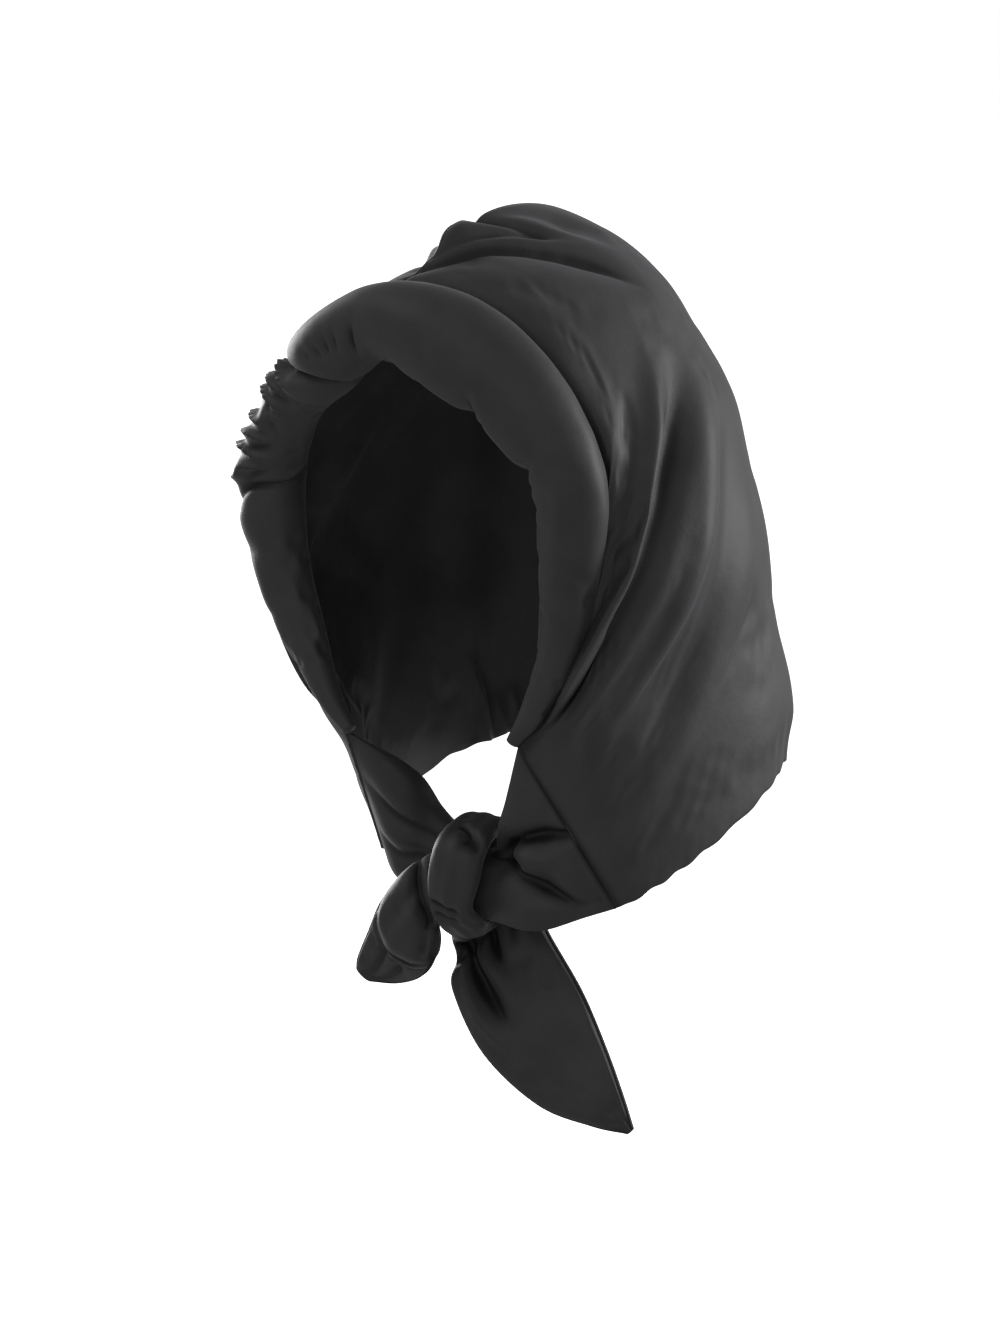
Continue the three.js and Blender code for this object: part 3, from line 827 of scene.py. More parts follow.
@dataclass
class FaceRoll:
    """Stuffed roll round the face opening, gathered on its slumped side."""

    name: str = "dressed_face_roll"
    node: str = "face_roll"
    slot: str = "roll_cloth"
    stations: int = 460
    sides: int = 60
    gather_length: float = 11.0
    gather_depth: float = 3.0
    gather_slant: float = 7.0
    gather_angle: float = -0.8
    gather_turn: float = 1.2
    gather_start: Span = (0.185, 0.22)
    gather_end: Span = (0.42, 0.5)
    gather_sways: tuple[Sway, ...] = (Sway(2.4, 6.0), Sway(1.5, 2.7))
    tooth_height: float = 1.6
    tooth_base: float = 0.8
    tooth_sharpness: float = 1.2
    notch_sway: float = 1.2
    notch_turns: float = 2.3
    notch_shift: float = 40.0
    notch_sharpness: float = 1.3
    shade: Shade = Shade(24, 0.15, 1.8)
    uneven: tuple[Crumple, ...] = (Crumple(60, 11, 0.8), Crumple(20, 12, 0.12))
    thin: Span = (4.0, 16.0)
    back_hold: float = 0.75
    back_reach: Span = (0.2, 0.9)
    fill: float = 0.8
    ease: PaddingEase | None = PaddingEase(slack=0.012, cap=1.2)
    coarse: int = 4
    held_ends: Span = (0.7, 0.95)
    held_back: Span = (-0.1, 0.5)

    def __post_init__(self) -> None:
        """Lays the middle line from the right jaw over the forehead to the left jaw."""
        right = [(-row.x, row.y, row.z, row.radius) for row in reversed(ROLL_RIGHT[1:])]
        left = [tuple(row) for row in ROLL_LEFT]
        self.rows = np.array(right + left, dtype=float)

    def line(self, share: np.ndarray) -> np.ndarray:
        """Points of the middle line at shares of the whole roll."""
        return along(self.rows[:, :3], share)

    def tangent(self, share: np.ndarray) -> np.ndarray:
        """Direction of the middle line at shares of the whole roll."""
        step = 1e-4
        return unit(self.line(np.minimum(share + step, 1)) - self.line(np.maximum(share - step, 0)))

    def radius(self, share: np.ndarray) -> np.ndarray:
        """Radius of the roll without its gathers, at shares of the whole roll."""
        return along(self.rows[:, 3:], share)[..., 0]

    @staticmethod
    def whole_share(side: Side, down: np.ndarray | float) -> np.ndarray | float:
        """Share of the whole roll at shares from the forehead to a side's jaw."""
        return 0.5 + 0.5 * side.value * down

    def seam_point(self, side: Side, down: np.ndarray, towards: np.ndarray, gap: float) -> np.ndarray:
        """Where a panel is sewn on: the side of the roll that looks at a point.

        Args:
            side: The panel's side.
            down: Shares from the forehead to the jaw.
            towards: A point for each share.
            gap: Room between the roll and the seam.

        Returns:
            A point for each share.
        """
        share = self.whole_share(side, down)
        centre = self.line(share)
        tangent = self.tangent(share)
        lean = towards - centre
        lean = unit(lean - tangent * np.sum(lean * tangent, axis=-1, keepdims=True))
        return centre + lean * (self.radius(share) + gap)[..., None]

    def gathers(self, share: np.ndarray, angle: np.ndarray, run: np.ndarray) -> np.ndarray:
        """Change of radius by gathers and puckers.

        Args:
            share: Share of the whole roll of each point.
            angle: Angle round the roll of each point, 0 outwards and pi into the opening.
            run: Length along the roll from its middle.

        Returns:
            Change of radius of each point.
        """
        down = np.abs(2 * share - 1)
        slumped = smooth(down, *self.gather_start) * (1 - smooth(down, *self.gather_end))
        strength = self.gather_depth * np.where(share < 0.5, slumped, 0.0)
        turn = turn_from(self.gather_angle, angle)
        place = run + sum(sway.at(run) for sway in self.gather_sways) + self.gather_slant * turn
        tooth = 1 - np.abs(np.sin(math.pi * place / self.gather_length))
        raised = self.tooth_height * tooth**self.tooth_sharpness - self.tooth_base
        change = strength * raised * np.exp(-((turn / self.gather_turn) ** 2))
        for notch in ROLL_NOTCHES:
            middle = self.whole_share(notch.side, notch.down)
            length = (share - middle) * (run.max() - run.min())
            turn = turn_from(notch.angle, angle)
            sway = self.notch_sway * np.sin(self.notch_turns * turn + self.notch_shift * notch.down)
            bent = length + notch.slant * turn + sway
            valley = np.exp(-((np.abs(bent) / notch.length) ** self.notch_sharpness))
            change -= notch.depth * valley * np.exp(-((turn / notch.reach) ** 2))
        return change

    def build(self) -> bpy.types.Object:
        """Makes the roll.

        Returns:
            The roll as an object.
        """
        share = np.linspace(0, 1, self.stations + 1)
        centre = self.line(share)
        tangent = self.tangent(share)
        outward = unit(np.cross(tangent, np.array([0.0, 1.0, 0.0])))
        backward = np.cross(outward, tangent)
        run = run_lengths(centre, 0)
        run = run - np.interp(0.5, share, run)
        angle = ring_angles(self.sides) - math.pi
        share_grid, angle_grid = np.meshgrid(share, angle, indexing="ij")
        run_grid = np.repeat(run[:, None], self.sides, axis=1)
        gathers = self.gathers(share_grid, angle_grid, run_grid)
        radius = self.radius(share)[:, None] + gathers
        spokes = (
            outward[:, None] * np.cos(angle_grid)[..., None]
            + backward[:, None] * np.sin(angle_grid)[..., None]
        )
        points = centre[:, None] + spokes * radius[..., None]
        held_back = self.back_hold * smooth(np.sin(angle_grid), *self.back_reach)
        loose = smooth(radius, *self.thin) * (1 - held_back)
        uneven = sum(crumple.at(points) for crumple in self.uneven) * loose
        points = points + spokes * uneven[..., None] + self.eased()

        mesh = ClothMesh(self.name)
        girth = angle_grid * self.radius(share)[:, None]
        # Painted shade in the hollows of the gathers and notches
        crease = crease_shade(gathers, True, self.shade)
        rings = mesh.add_points(points, np.stack([run_grid, girth], axis=-1), crease)
        mesh.add_tube(rings, centre, np.stack([run, np.zeros_like(run)], axis=-1))
        return mesh.build()

    def eased(self) -> np.ndarray | float:
        """Moves of the roll's points as its stuffing settles, held by its seams at the back."""
        if self.ease is None:
            return 0.0
        stations = self.stations // self.coarse
        sides = self.sides // self.coarse
        copy = replace(self, ease=None, stations=stations, sides=sides)
        share = np.linspace(0, 1, stations + 1)
        ends = smooth(np.abs(2 * share - 1), *self.held_ends)
        seam = smooth(np.sin(ring_angles(sides) - math.pi), *self.held_back)
        held = np.maximum(seam[None], ends[:, None])
        moves = self.ease.moves(copy.build(), np.concatenate([held.ravel(), np.ones(2)]))
        coarse_moves = moves[: held.size].reshape(*held.shape, 3)
        return refined(coarse_moves, self.stations + 1, self.sides, True)

    def dress(self, piece: bpy.types.Object, cloth: bpy.types.Material) -> None:
        """Gives the roll its cloth and its place in the frame."""
        settle(piece, self.node, cloth)


@dataclass
class SidePanel:
    """Padded side panel of the hood, from the centre seam to the strap seam.

    Lengths, heights and spans are in millimetres, except that a fold's start and end and the reach of
    the ruffle are shares.
    """

    side: Side
    roll: FaceRoll
    slot: str = "shell_cloth"
    padding: float = 8.0
    padding_fade: Span = (-4.0, 26.0)
    edge: float = 3.0
    least_wall: float = 2.4
    bead: float = 0.96
    seam_gap: float = 0.06
    roll_gap: float = 0.05
    rows: int = 216
    columns: int = 168
    crowding: float = 0.25
    strap_crowding: float = 0.4
    back_length: float = 410.0
    down_length: float = 290.0
    fold_radius: float = 1.6
    fold_start: Span = (-0.12, 0.25)
    fold_end: Span = (0.7, 1.12)
    hold_width: float = 18.0
    loose_width: float = 25.0
    uneven: tuple[Crumple, ...] = (Crumple(90, 21, 1.2), Crumple(32, 22, 0.15))
    hang: Crumple = Crumple(34, 23, 1.2, (1.0, 1.0, 6.0))
    right_slump: float = 1.8
    right_inner_lift: float = 0.45
    ruffle_length: float = 34.0
    ruffle_depth: float = 3.2
    ruffle_rise: float = 95.0
    ruffle_reach: Span = (0.3, 0.5)
    gather_length: float = 26.0
    gather_depth: float = 2.2
    gather_rise: float = 42.0
    gather_sharpness: float = 0.6
    gather_base: float = 0.7
    gather_sway: Sway = Sway(5, 21)
    pleat_lean: float = 0.12
    pleat_start: float = 0.3
    pleat_sharpness: float = 1.6
    seam_puff: float = 3.5
    puff_rise: Span = (0.0, 9.0)
    puff_fall: Span = (10.0, 34.0)
    puff_foot: Span = (0.0, 40.0)
    hem_pucker: Pucker = Pucker(11, 0.07, 1, 15)
    hem_sway: Sway = Sway(4, 17)
    hem_drift: Sway = Sway(3, 31)
    roll_pucker: Pucker = Pucker(13, 0.1, 2, 15)
    roll_sway: Sway = Sway(5, 23)
    strap_pucker: Pucker = Pucker(9, 0.1, 1, 12)
    strap_sway: Sway = Sway(4, 15)
    scallop_length: float = 20.0
    scallop_depth: float = 0.6
    scallop_fade: float = 20.0
    shade: Shade = Shade(24, 0.3, 2.2)
    broad_shade: Shade = Shade(220, 0.3, 2.8)
    inner_shade: Shade = Shade(24, 0.15, 2.2)
    # Painted shade along the seams with the roll and the strap
    seam_painted_shade: float = 0.9
    roll_seam_painted_shade: Span = (1.0, 9.0)
    strap_seam_painted_shade: Span = (0.4, 2.6)
    inner_cloth: float = 600.0
    fill: float = 0.55
    ease: PaddingEase | None = PaddingEase(slack=0.005, cap=1.0)
    coarse: int = 4
    held_width: Span = (4.0, 34.0)
    settled_width: Span = (2.0, 20.0)

    @property
    def node(self) -> str:
        """Name of the solid that the panel stands for."""
        return f"hood_panel_{self.side.name.lower()}"

    @property
    def name(self) -> str:
        """Name of the dressed piece."""
        return f"dressed_{self.node}"

    def mirrored(self, points: np.ndarray) -> np.ndarray:
        """Points turned over to the panel's own side, or back from it."""
        return points * np.array([self.side.value, 1.0, 1.0])

    def strap_seam(self) -> tuple[np.ndarray, np.ndarray]:
        """Ends of the seam with the strap, at the jaw and at the hem."""
        return strap_seam(self.roll, self.side, self.roll_gap)

    def wall(self, back: np.ndarray, down: np.ndarray) -> np.ndarray:
        """Middle of the padded wall, on the left side.

        Args:
            back: Share from the roll to the hem for each point of the grid.
            down: Share from the centre seam to the strap seam for each column.

        Returns:
            A point for each place of the grid.
        """
        top, foot = self.strap_seam()
        bows = []
        for bow in BOWS:
            base = top + (foot - top) * bow.foot
            foot_angle = math.pi - math.asin(min(abs(base[0]) / bow.half_width, 1.0))
            angle = foot_angle * down
            arch = (1 - np.cos(angle)) / (1 - math.cos(foot_angle))
            peak = bow.peak * (self.right_slump if self.side is Side.RIGHT else 1.0)
            drop = arch + (down - arch) * peak
            swell = np.sin(math.pi * drop)
            width = self.side.value * bow.half_width * np.sin(angle)
            depth = bow.top_y + (base[1] - bow.top_y) * drop + bow.bulge_y * swell
            height = bow.top_z + (base[2] - bow.top_z) * drop + bow.bulge_z * swell
            bows.append(np.stack([width, depth, height], axis=-1))
        front = self.roll.seam_point(self.side, down, bows[0], self.roll_gap)
        front[-1] = top
        control = self.mirrored(np.stack([front, *bows]))
        lines = [along(control[:, column], back[:, column]) for column in range(len(down))]
        return np.stack(lines, axis=1)

    def folds(self, back: np.ndarray, down: np.ndarray) -> np.ndarray:
        """Height of the folds at places of the panel.

        Args:
            back: Share from the roll to the hem.
            down: Share from the centre seam to the strap seam.

        Returns:
            Height of each place above the plain wall.
        """
        height = np.zeros_like(back)
        for fold in PANEL_FOLDS + FINE_FOLDS:
            share, aside = beside_line(
                (back - fold.back0) * self.back_length,
                (down - fold.down0) * self.down_length,
                (fold.back1 - fold.back0) * self.back_length,
                (fold.down1 - fold.down0) * self.down_length,
            )
            fade = smooth(share, *self.fold_start) * (1 - smooth(share, *self.fold_end))
            bend = (rounded(aside, self.fold_radius) / fold.width) ** fold.sharp
            height += fold.height * fade * np.exp(-bend)
        return height

    def ruffle(self, down: np.ndarray, from_seam: np.ndarray, from_hem: np.ndarray) -> np.ndarray:
        """Height of the gathers at the nape.

        Args:
            down: Share from the centre seam to the strap seam.
            from_seam: Distance from the centre seam.
            from_hem: Distance from the hem.

        Returns:
            Height of each place above the plain wall.
        """
        reach = 1 - smooth(down, *self.ruffle_reach)
        rise = 1 - smooth(from_hem, 0, self.ruffle_rise)
        wave = np.cos(2 * math.pi * from_seam / self.ruffle_length)
        run = from_seam + self.gather_sway.at(from_seam)
        gather = np.abs(np.sin(2 * math.pi * run / self.gather_length)) ** self.gather_sharpness
        fine = (1 - smooth(from_hem, 0, self.gather_rise)) * (gather - self.gather_base)
        return reach * (self.ruffle_depth * rise * wave + self.gather_depth * fine)

    def build(self) -> bpy.types.Object:
        """Makes the panel: an outer and an inner cloth that meet round the edge.

        Returns:
            The panel as an object.
        """
        down = np.linspace(0, 1, self.columns + 1)
        share = np.linspace(0, 1, self.rows + 1)[:, None]
        crowding = self.crowding + self.strap_crowding * down[None] ** 2
        back = share + (share**3 - share) * crowding
        middle = self.wall(back, down)
        down_grid = np.repeat(down[None], self.rows + 1, axis=0)

        ahead = np.concatenate([middle[1:], middle[-1:]]) - np.concatenate([middle[:1], middle[:-1]])
        over_ridge = middle[:, 1:2] * np.array([-1.0, 1.0, 1.0])
        lower = np.concatenate([middle[:, 1:], middle[:, -1:]], axis=1)
        upper = np.concatenate([over_ridge, middle[:, :-1]], axis=1)
        normal = unit(np.cross(lower - upper, ahead))

        from_ridge = run_lengths(middle, 1)
        from_foot = from_ridge[:, -1:] - from_ridge
        from_roll = run_lengths(middle, 0)
        from_hem = from_roll[-1:] - from_roll
        from_edge = np.minimum.reduce([from_ridge, from_foot, from_roll, from_hem])
        full = np.sqrt(smooth(from_edge, *self.padding_fade))
        wall = self.edge + (self.padding - self.edge) * full
        hold = smooth(np.minimum(from_foot, from_roll), 0, self.hold_width)
        lift = self.folds(back, down_grid) * hold + self.ruffle(down_grid, from_ridge, from_hem) * hold

        loose = hold * smooth(np.minimum(from_ridge, from_hem), 0, self.loose_width)
        uneven = sum(crumple.at(middle) for crumple in self.uneven)
        hang = self.hang.at(middle)
        puff = smooth(from_roll, *self.puff_rise) * (1 - smooth(from_roll, *self.puff_fall))
        puff = self.seam_puff * puff * smooth(from_foot, *self.puff_foot)
        hem_run = from_ridge + self.hem_sway.at(from_ridge) + self.hem_drift.at(from_roll)
        pucker = self.hem_pucker.at(hem_run, from_hem)
        pucker += self.roll_pucker.at(from_ridge + self.roll_sway.at(from_ridge), from_roll)
        pucker += self.strap_pucker.at(from_roll + self.strap_sway.at(from_roll), from_foot)

        scallop = self.scallop_depth * np.cos(2 * math.pi * hem_run / self.scallop_length)
        scallop = scallop * (1 - smooth(from_hem, 0, self.scallop_fade))
        middle = middle + unit(ahead) * scallop[..., None]
        inner_lift = lift * (1.0 if self.side is Side.LEFT else self.right_inner_lift)
        inner_lift = inner_lift - self.pleat_height(down_grid, from_ridge, from_hem)
        outer_height = lift + wall / 2 + uneven * loose + pucker + puff
        inner_height = inner_lift - wall / 2 + (uneven + hang) * loose - pucker
        outer = middle + normal * outer_height[..., None]
        inner = self.kept_apart(outer, middle + normal * inner_height[..., None], normal)

        # Painted shade: in folds and broad valleys, along the seams with the roll and the strap, and in
        # the inner cloth's hollows
        outer_painted_shade = crease_shade(outer_height, False, self.shade)
        outer_painted_shade += crease_shade(lift, False, self.broad_shade)
        outer_painted_shade += self.seam_painted_shade * (1 - smooth(from_roll, *self.roll_seam_painted_shade))
        outer_painted_shade += self.seam_painted_shade * (1 - smooth(from_foot, *self.strap_seam_painted_shade))
        inner_painted_shade = crease_shade(-inner_height, False, self.inner_shade)
        mesh = ClothMesh(self.name)
        outer_place = np.stack([from_ridge, from_roll], axis=-1)
        inner_place = outer_place + self.inner_cloth
        outer_moves, inner_moves = self.eased(from_edge)
        outer_numbers = mesh.add_points(self.placed(outer) + outer_moves, outer_place, outer_painted_shade)
        inner_numbers = mesh.add_points(self.placed(inner) + inner_moves, inner_place, inner_painted_shade)
        mesh.add_grid(outer_numbers)
        mesh.add_grid(inner_numbers, flip=True)
        self.close_edge(mesh, outer_numbers, inner_numbers, outer, inner, middle, outer_place)
        return mesh.build()

    def eased(self, from_edge: np.ndarray) -> tuple[np.ndarray | float, np.ndarray | float]:
        """Moves of both cloths as the padding settles, held by the seams round the panel.

        Args:
            from_edge: Distance of each place from the nearest edge.

        Returns:
            Moves of the outer and of the inner cloth.
        """
        if self.ease is None:
            return 0.0, 0.0
        rows = self.rows // self.coarse
        columns = self.columns // self.coarse
        copy = replace(self, ease=None, rows=rows, columns=columns)
        held = 1 - smooth(from_edge[:: self.coarse, :: self.coarse], *self.held_width)
        rim = np.ones(2 * (rows + columns))
        moves = self.ease.moves(copy.build(), np.concatenate([held.ravel(), held.ravel(), rim]))
        both = moves[: 2 * held.size].reshape(2, *held.shape, 3)
        settled = smooth(from_edge, *self.settled_width)[..., None]
        outer, inner = (refined(part, self.rows + 1, self.columns + 1, False) for part in both)
        return outer * settled, inner * settled

    def pleat_height(
        self, down: np.ndarray, from_seam: np.ndarray, from_hem: np.ndarray
    ) -> np.ndarray:
        """Height of the pleats inside the nape, towards the neck.

        Args:
            down: Share from the centre seam to the strap seam.
            from_seam: Distance from the centre seam.
            from_hem: Distance from the hem.

        Returns:
            Height of each place above the plain inner cloth.
        """
        height = np.zeros_like(down)
        for pleat in NAPE_PLEATS:
            aside = (down - pleat.down) * from_seam.max(axis=1, keepdims=True)
            lean = aside - self.pleat_lean * from_hem
            rise = 1 - smooth(from_hem, pleat.rise * self.pleat_start, pleat.rise)
            bend = np.abs(lean / pleat.width) ** self.pleat_sharpness
            height += pleat.height * rise * np.exp(-bend)
        return height

    def kept_apart(self, outer: np.ndarray, inner: np.ndarray, normal: np.ndarray) -> np.ndarray:
        """Inner cloth held clear of the outer one by the least wall."""
        gap = np.sum((outer - inner) * normal, axis=-1, keepdims=True)
        return inner - normal * np.maximum(self.least_wall - gap, 0)

    def placed(self, points: np.ndarray) -> np.ndarray:
        """Points kept off the centre seam and put on the panel's own side."""
        kept = points.copy()
        kept[..., 0] = np.maximum(kept[..., 0], 0) + self.seam_gap
        return self.mirrored(kept)

    def close_edge(
        self,
        mesh: ClothMesh,
        outer_numbers: np.ndarray,
        inner_numbers: np.ndarray,
        outer: np.ndarray,
        inner: np.ndarray,
        middle: np.ndarray,
        cloth_place: np.ndarray,
    ) -> None:
        """Joins both cloths by a rounded edge all round.

        Args:
            mesh: The mesh to add to.
            outer_numbers: Point numbers of the outer cloth.
            inner_numbers: Point numbers of the inner cloth.
            outer: Points of the outer cloth.
            inner: Points of the inner cloth.
            middle: Points of the middle of the wall.
            cloth_place: Place on the cloth of each point.
        """
        def rim(grid: np.ndarray) -> np.ndarray:
            """Points of a grid in order round its edge."""
            return np.concatenate([grid[0, :-1], grid[:-1, -1], grid[-1, :0:-1], grid[:0:-1, 0]])

        inside = np.zeros(middle.shape[:2] + (3,))
        inside[0] += middle[0] - middle[1]
        inside[-1] += middle[-1] - middle[-2]
        inside[:, -1] += middle[:, -1] - middle[:, -2]
        inside[:, 0] += middle[:, 0] - middle[:, 1]
        away = unit(rim(inside)) * self.bead
        bead = 0.5 * (rim(outer) + rim(inner)) + away
        bead_numbers = mesh.add_points(self.placed(bead), rim(cloth_place), np.zeros(len(bead)))
        loops = [rim(outer_numbers), bead_numbers, rim(inner_numbers)]
        band = np.stack(loops, axis=1)
        mesh.add_grid(np.concatenate([band, band[:1]]))

    def dress(self, piece: bpy.types.Object, cloth: bpy.types.Material) -> None:
        """Gives the panel its cloth and its place in the frame."""
        settle(piece, self.node, cloth)


def strap_seam(roll: FaceRoll, side: Side, gap: float) -> tuple[np.ndarray, np.ndarray]:
    """Ends of the seam between a panel and its strap.

    Args:
        roll: The roll, at whose end the seam starts.
        side: The panel's side.
        gap: Room between the roll and the seam.

    Returns:
        The end at the jaw and the end at the hem.
    """
    foot = np.array(STRAP_SEAM_FOOT[side], dtype=float) * np.array([side.value, 1.0, 1.0])
    jaw_share = np.array([1.0])
    jaw = roll.line(roll.whole_share(side, jaw_share))[0]
    top = roll.seam_point(side, jaw_share, 0.5 * (foot + jaw)[None], gap)[0]
    return top, foot


@dataclass
class TiedStrap:
    """Padded scarf end from its seam through the knot to its free end.

    Rim, cuff and the painted shade under the knot start at shares of the strap's length, and a strap can
    be without cuff or without that painted shade.
    """

    side: Side
    roll: FaceRoll
    table: tuple[StrapRow, ...]
    creases: tuple[Crease, ...]
    rim_from: float
    cuff: float | None = None
    # Share of the strap where the painted shade under the knot is darkest
    knot_painted_shade: float | None = None
    slot: str = "strap_cloth"
    seam_gap: float = 0.35
    seam_thickness: float = 3.0
    pleats: int = 3
    pleat_share: float = 0.25
    flatness: float = 0.75
    stations: int = 320
    sides: int = 200
    tangent_step: float = 0.01
    cuff_bow: float = 0.07
    cuff_drop: float = 0.36
    cuff_step: float = 0.02
    rim_blend: float = 0.06
    rim_reach: Span = (0.5, 1.7)
    rim_thickness: float = 1.2
    crease_radius: float = 1.0
    crease_sharpness: float = 1.3
    crease_start: Span = (-0.15, 0.15)
    crease_end: Span = (0.7, 1.15)
    least_height: float = 0.8
    thin: Span = (4.0, 14.0)
    shade: Shade = Shade(120, 0.3, 1.9)
    # Painted shade at the seam, along the rim and under the knot
    edge_painted_shade: float = 0.9
    seam_painted_shade: Span = (0.4, 2.6)
    rim_painted_shade: Span = (0.6, 2.6)
    knot_painted_shade_strength: float = 0.75
    knot_painted_shade_rise: float = 0.04
    knot_painted_shade_fall: float = 0.12
    back_cloth: float = 200.0
    ease: PaddingEase | None = PaddingEase(slack=0.01, cap=1.0)
    coarse: int = 4
    free_blend: float = 0.1
    held_edge: Span = (0.8, 0.98)
    settled_edge: Span = (0.6, 0.92)
    fill: float = 0.6

    @property
    def node(self) -> str:
        """Name of the solid that the strap stands for."""
        return f"strap_{self.side.name.lower()}"

    @property
    def name(self) -> str:
        """Name of the dressed piece."""
        return f"dressed_{self.node}"

    @property
    def uneven(self) -> tuple[Crumple, ...]:
        """Uneven waves of the padding, other ones on each side."""
        return Crumple(40, 31 + self.side.value, 0.5), Crumple(15, 33, 0.15)

    @staticmethod
    def knot_points(places: list[tuple[float, float, float]]) -> np.ndarray:
        """Points in the frame of the hood, from places round the knot."""
        across, up, out = np.array(places, dtype=float).T[:, :, None]
        height = np.array([0.0, 0.0, 1.0])
        return KNOT_CENTRE + across * KNOT_ACROSS + out * KNOT_OUT + up * height

    def edges(self) -> tuple[np.ndarray, np.ndarray]:
        """Control points of the two edges of the strap, seam included."""
        top, foot = strap_seam(self.roll, self.side, 0.0)
        towards = unit(KNOT_CENTRE - 0.5 * (top + foot)) * self.seam_gap
        first = self.knot_points([row.edge for row in self.table])
        second = self.knot_points([row.other for row in self.table])
        return np.concatenate([[top + towards], first]), np.concatenate([[foot + towards], second])

    def build(self) -> bpy.types.Object:
        """Makes the strap.

        Returns:
            The strap as an object.
        """
        share = np.linspace(0, 1, self.stations + 1)
        edge_rows, other_rows = self.edges()
        edge = along(edge_rows, share)
        other = along(other_rows, share)
        centre = 0.5 * (edge + other)
        width = 0.5 * (edge - other)
        middle_rows = 0.5 * (edge_rows + other_rows)
        ahead = along(middle_rows, np.minimum(share + self.tangent_step, 1))
        behind = along(middle_rows, np.maximum(share - self.tangent_step, 0))
        face = unit(np.cross(ahead - behind, width))
        sizes = np.array([(self.seam_thickness, 0.0), *((row.thick, row.pleat) for row in self.table)])
        thick, pleat = along(sizes, share).T[:, :, None]

        angle = ring_angles(self.sides)
        across = np.cos(angle)[None] * np.ones_like(thick)
        rise = (np.sign(np.sin(angle)) * np.abs(np.sin(angle)) ** self.flatness)[None]
        side_up = np.sign(rise) * np.ones_like(across)
        share_grid = np.repeat(share[:, None], self.sides, axis=1)
        half_width = np.linalg.norm(width, axis=-1)[:, None]
        run = run_lengths(centre, 0)[:, None]
        wave = self.pleat_share * pleat * (np.cos(math.pi * self.pleats * across) - 1)
        height = rise * (thick / 2 + wave)
        if self.cuff is not None:
            past_cuff = share_grid - self.cuff - self.cuff_bow * (1 - across**2)
            height = height * (1 - self.cuff_drop * smooth(past_cuff, 0, self.cuff_step))
        from_rim = (1 - np.abs(across)) * half_width
        has_rim = smooth(share_grid, self.rim_from, self.rim_from + self.rim_blend)
        near_rim = has_rim * (1 - smooth(from_rim, *self.rim_reach))
        flat = np.sign(rise) * np.minimum(np.abs(height), self.rim_thickness)
        height = height + (flat - height) * near_rim
        creased, fold = self.crease_height(share_grid, across, half_width, side_up, float(run[-1, 0]))
        height = height + side_up * np.maximum(creased, self.least_height - np.abs(height)) + fold
        points = centre[:, None] + width[:, None] * across[..., None] + face[:, None] * height[..., None]
        loose = smooth(thick, *self.thin) * (1 - near_rim)
        uneven = sum(crumple.at(points) for crumple in self.uneven) * loose
        points = points + face[:, None] * (side_up * uneven)[..., None] + self.eased(across, share)

        # Painted shade: in creases, at the seam and along the rim
        crease = crease_shade(creased + side_up * fold, True, self.shade)
        crease += self.edge_painted_shade * (1 - smooth(run, *self.seam_painted_shade))
        crease += self.edge_painted_shade * (1 - smooth(from_rim, *self.rim_painted_shade)) * has_rim
        # Painted shade where the strap runs under the knot
        if self.knot_painted_shade is not None:
            under_knot = smooth(share_grid, self.knot_painted_shade - self.knot_painted_shade_rise, self.knot_painted_shade)
            out_again = smooth(share_grid, self.knot_painted_shade, self.knot_painted_shade + self.knot_painted_shade_fall)
            crease += self.knot_painted_shade_strength * under_knot * (1 - out_again)
        mesh = ClothMesh(self.name)
        place = np.stack([across * half_width + self.back_cloth * (rise > 0), run + 0 * across], axis=-1)
        rings = mesh.add_points(points, place, crease)
        mesh.add_tube(rings, centre, place[:, 0])
        return mesh.build()

    def eased(self, across: np.ndarray, share: np.ndarray) -> np.ndarray | float:
        """Moves of the strap's points as its padding settles, held in the knot and along its edges.

        Args:
            across: Place of each point across the strap, from -1 to 1.
            share: Share of the strap's length of each row of points.

        Returns:
            Move of each point.
        """
        if self.ease is None:
            return 0.0
        stations = self.stations // self.coarse
        sides = self.sides // self.coarse
        copy = replace(self, ease=None, stations=stations, sides=sides)
        free = smooth(share, self.rim_from, self.rim_from + self.free_blend)[:: self.coarse, None]
        middle = 1 - smooth(np.abs(np.cos(ring_angles(sides))), *self.held_edge)[None]
        held = 1 - free * middle
        moves = self.ease.moves(copy.build(), np.concatenate([held.ravel(), np.ones(2)]))
        coarse_moves = moves[: held.size].reshape(*held.shape, 3)
        fine = refined(coarse_moves, self.stations + 1, self.sides, True)
        return fine * (1 - smooth(np.abs(across), *self.settled_edge))[..., None]

    def crease_height(
        self,
        share: np.ndarray,
        across: np.ndarray,
        half_width: np.ndarray,
        face: np.ndarray,
        length: float,
    ) -> tuple[np.ndarray, np.ndarray]:
        """Depth of the creases at places of the strap.

        Args:
            share: Share of the strap's length.
            across: Place across the strap, from -1 to 1.
            half_width: Half of the strap's width.
            face: Which face of the strap a place is on, -1 on the front and 1 on the back.
            length: The strap's whole length.

        Returns:
            Height above the plain strap, below 0 in a crease, and how far the whole strap is folded
            away from its front.
        """
        height = np.zeros_like(share)
        fold = np.zeros_like(share)
        for crease in self.creases:
            ahead = crease.bow * (1 - across**2)
            here, aside = beside_line(
                (share - crease.share0 - ahead) * length,
                (across - crease.across0) * half_width,
                (crease.share1 - crease.share0) * length,
                (crease.across1 - crease.across0) * half_width,
            )
            fade = smooth(here, *self.crease_start) * (1 - smooth(here, *self.crease_end))
            bend = (rounded(aside, self.crease_radius) / crease.width) ** self.crease_sharpness
            pressed = crease.depth * fade * np.exp(-bend)
            if crease.face is Face.WHOLE:
                fold += pressed
            elif crease.face is Face.BOTH:
                height -= pressed
            else:
                height -= pressed * (face < 0)
        return height, fold

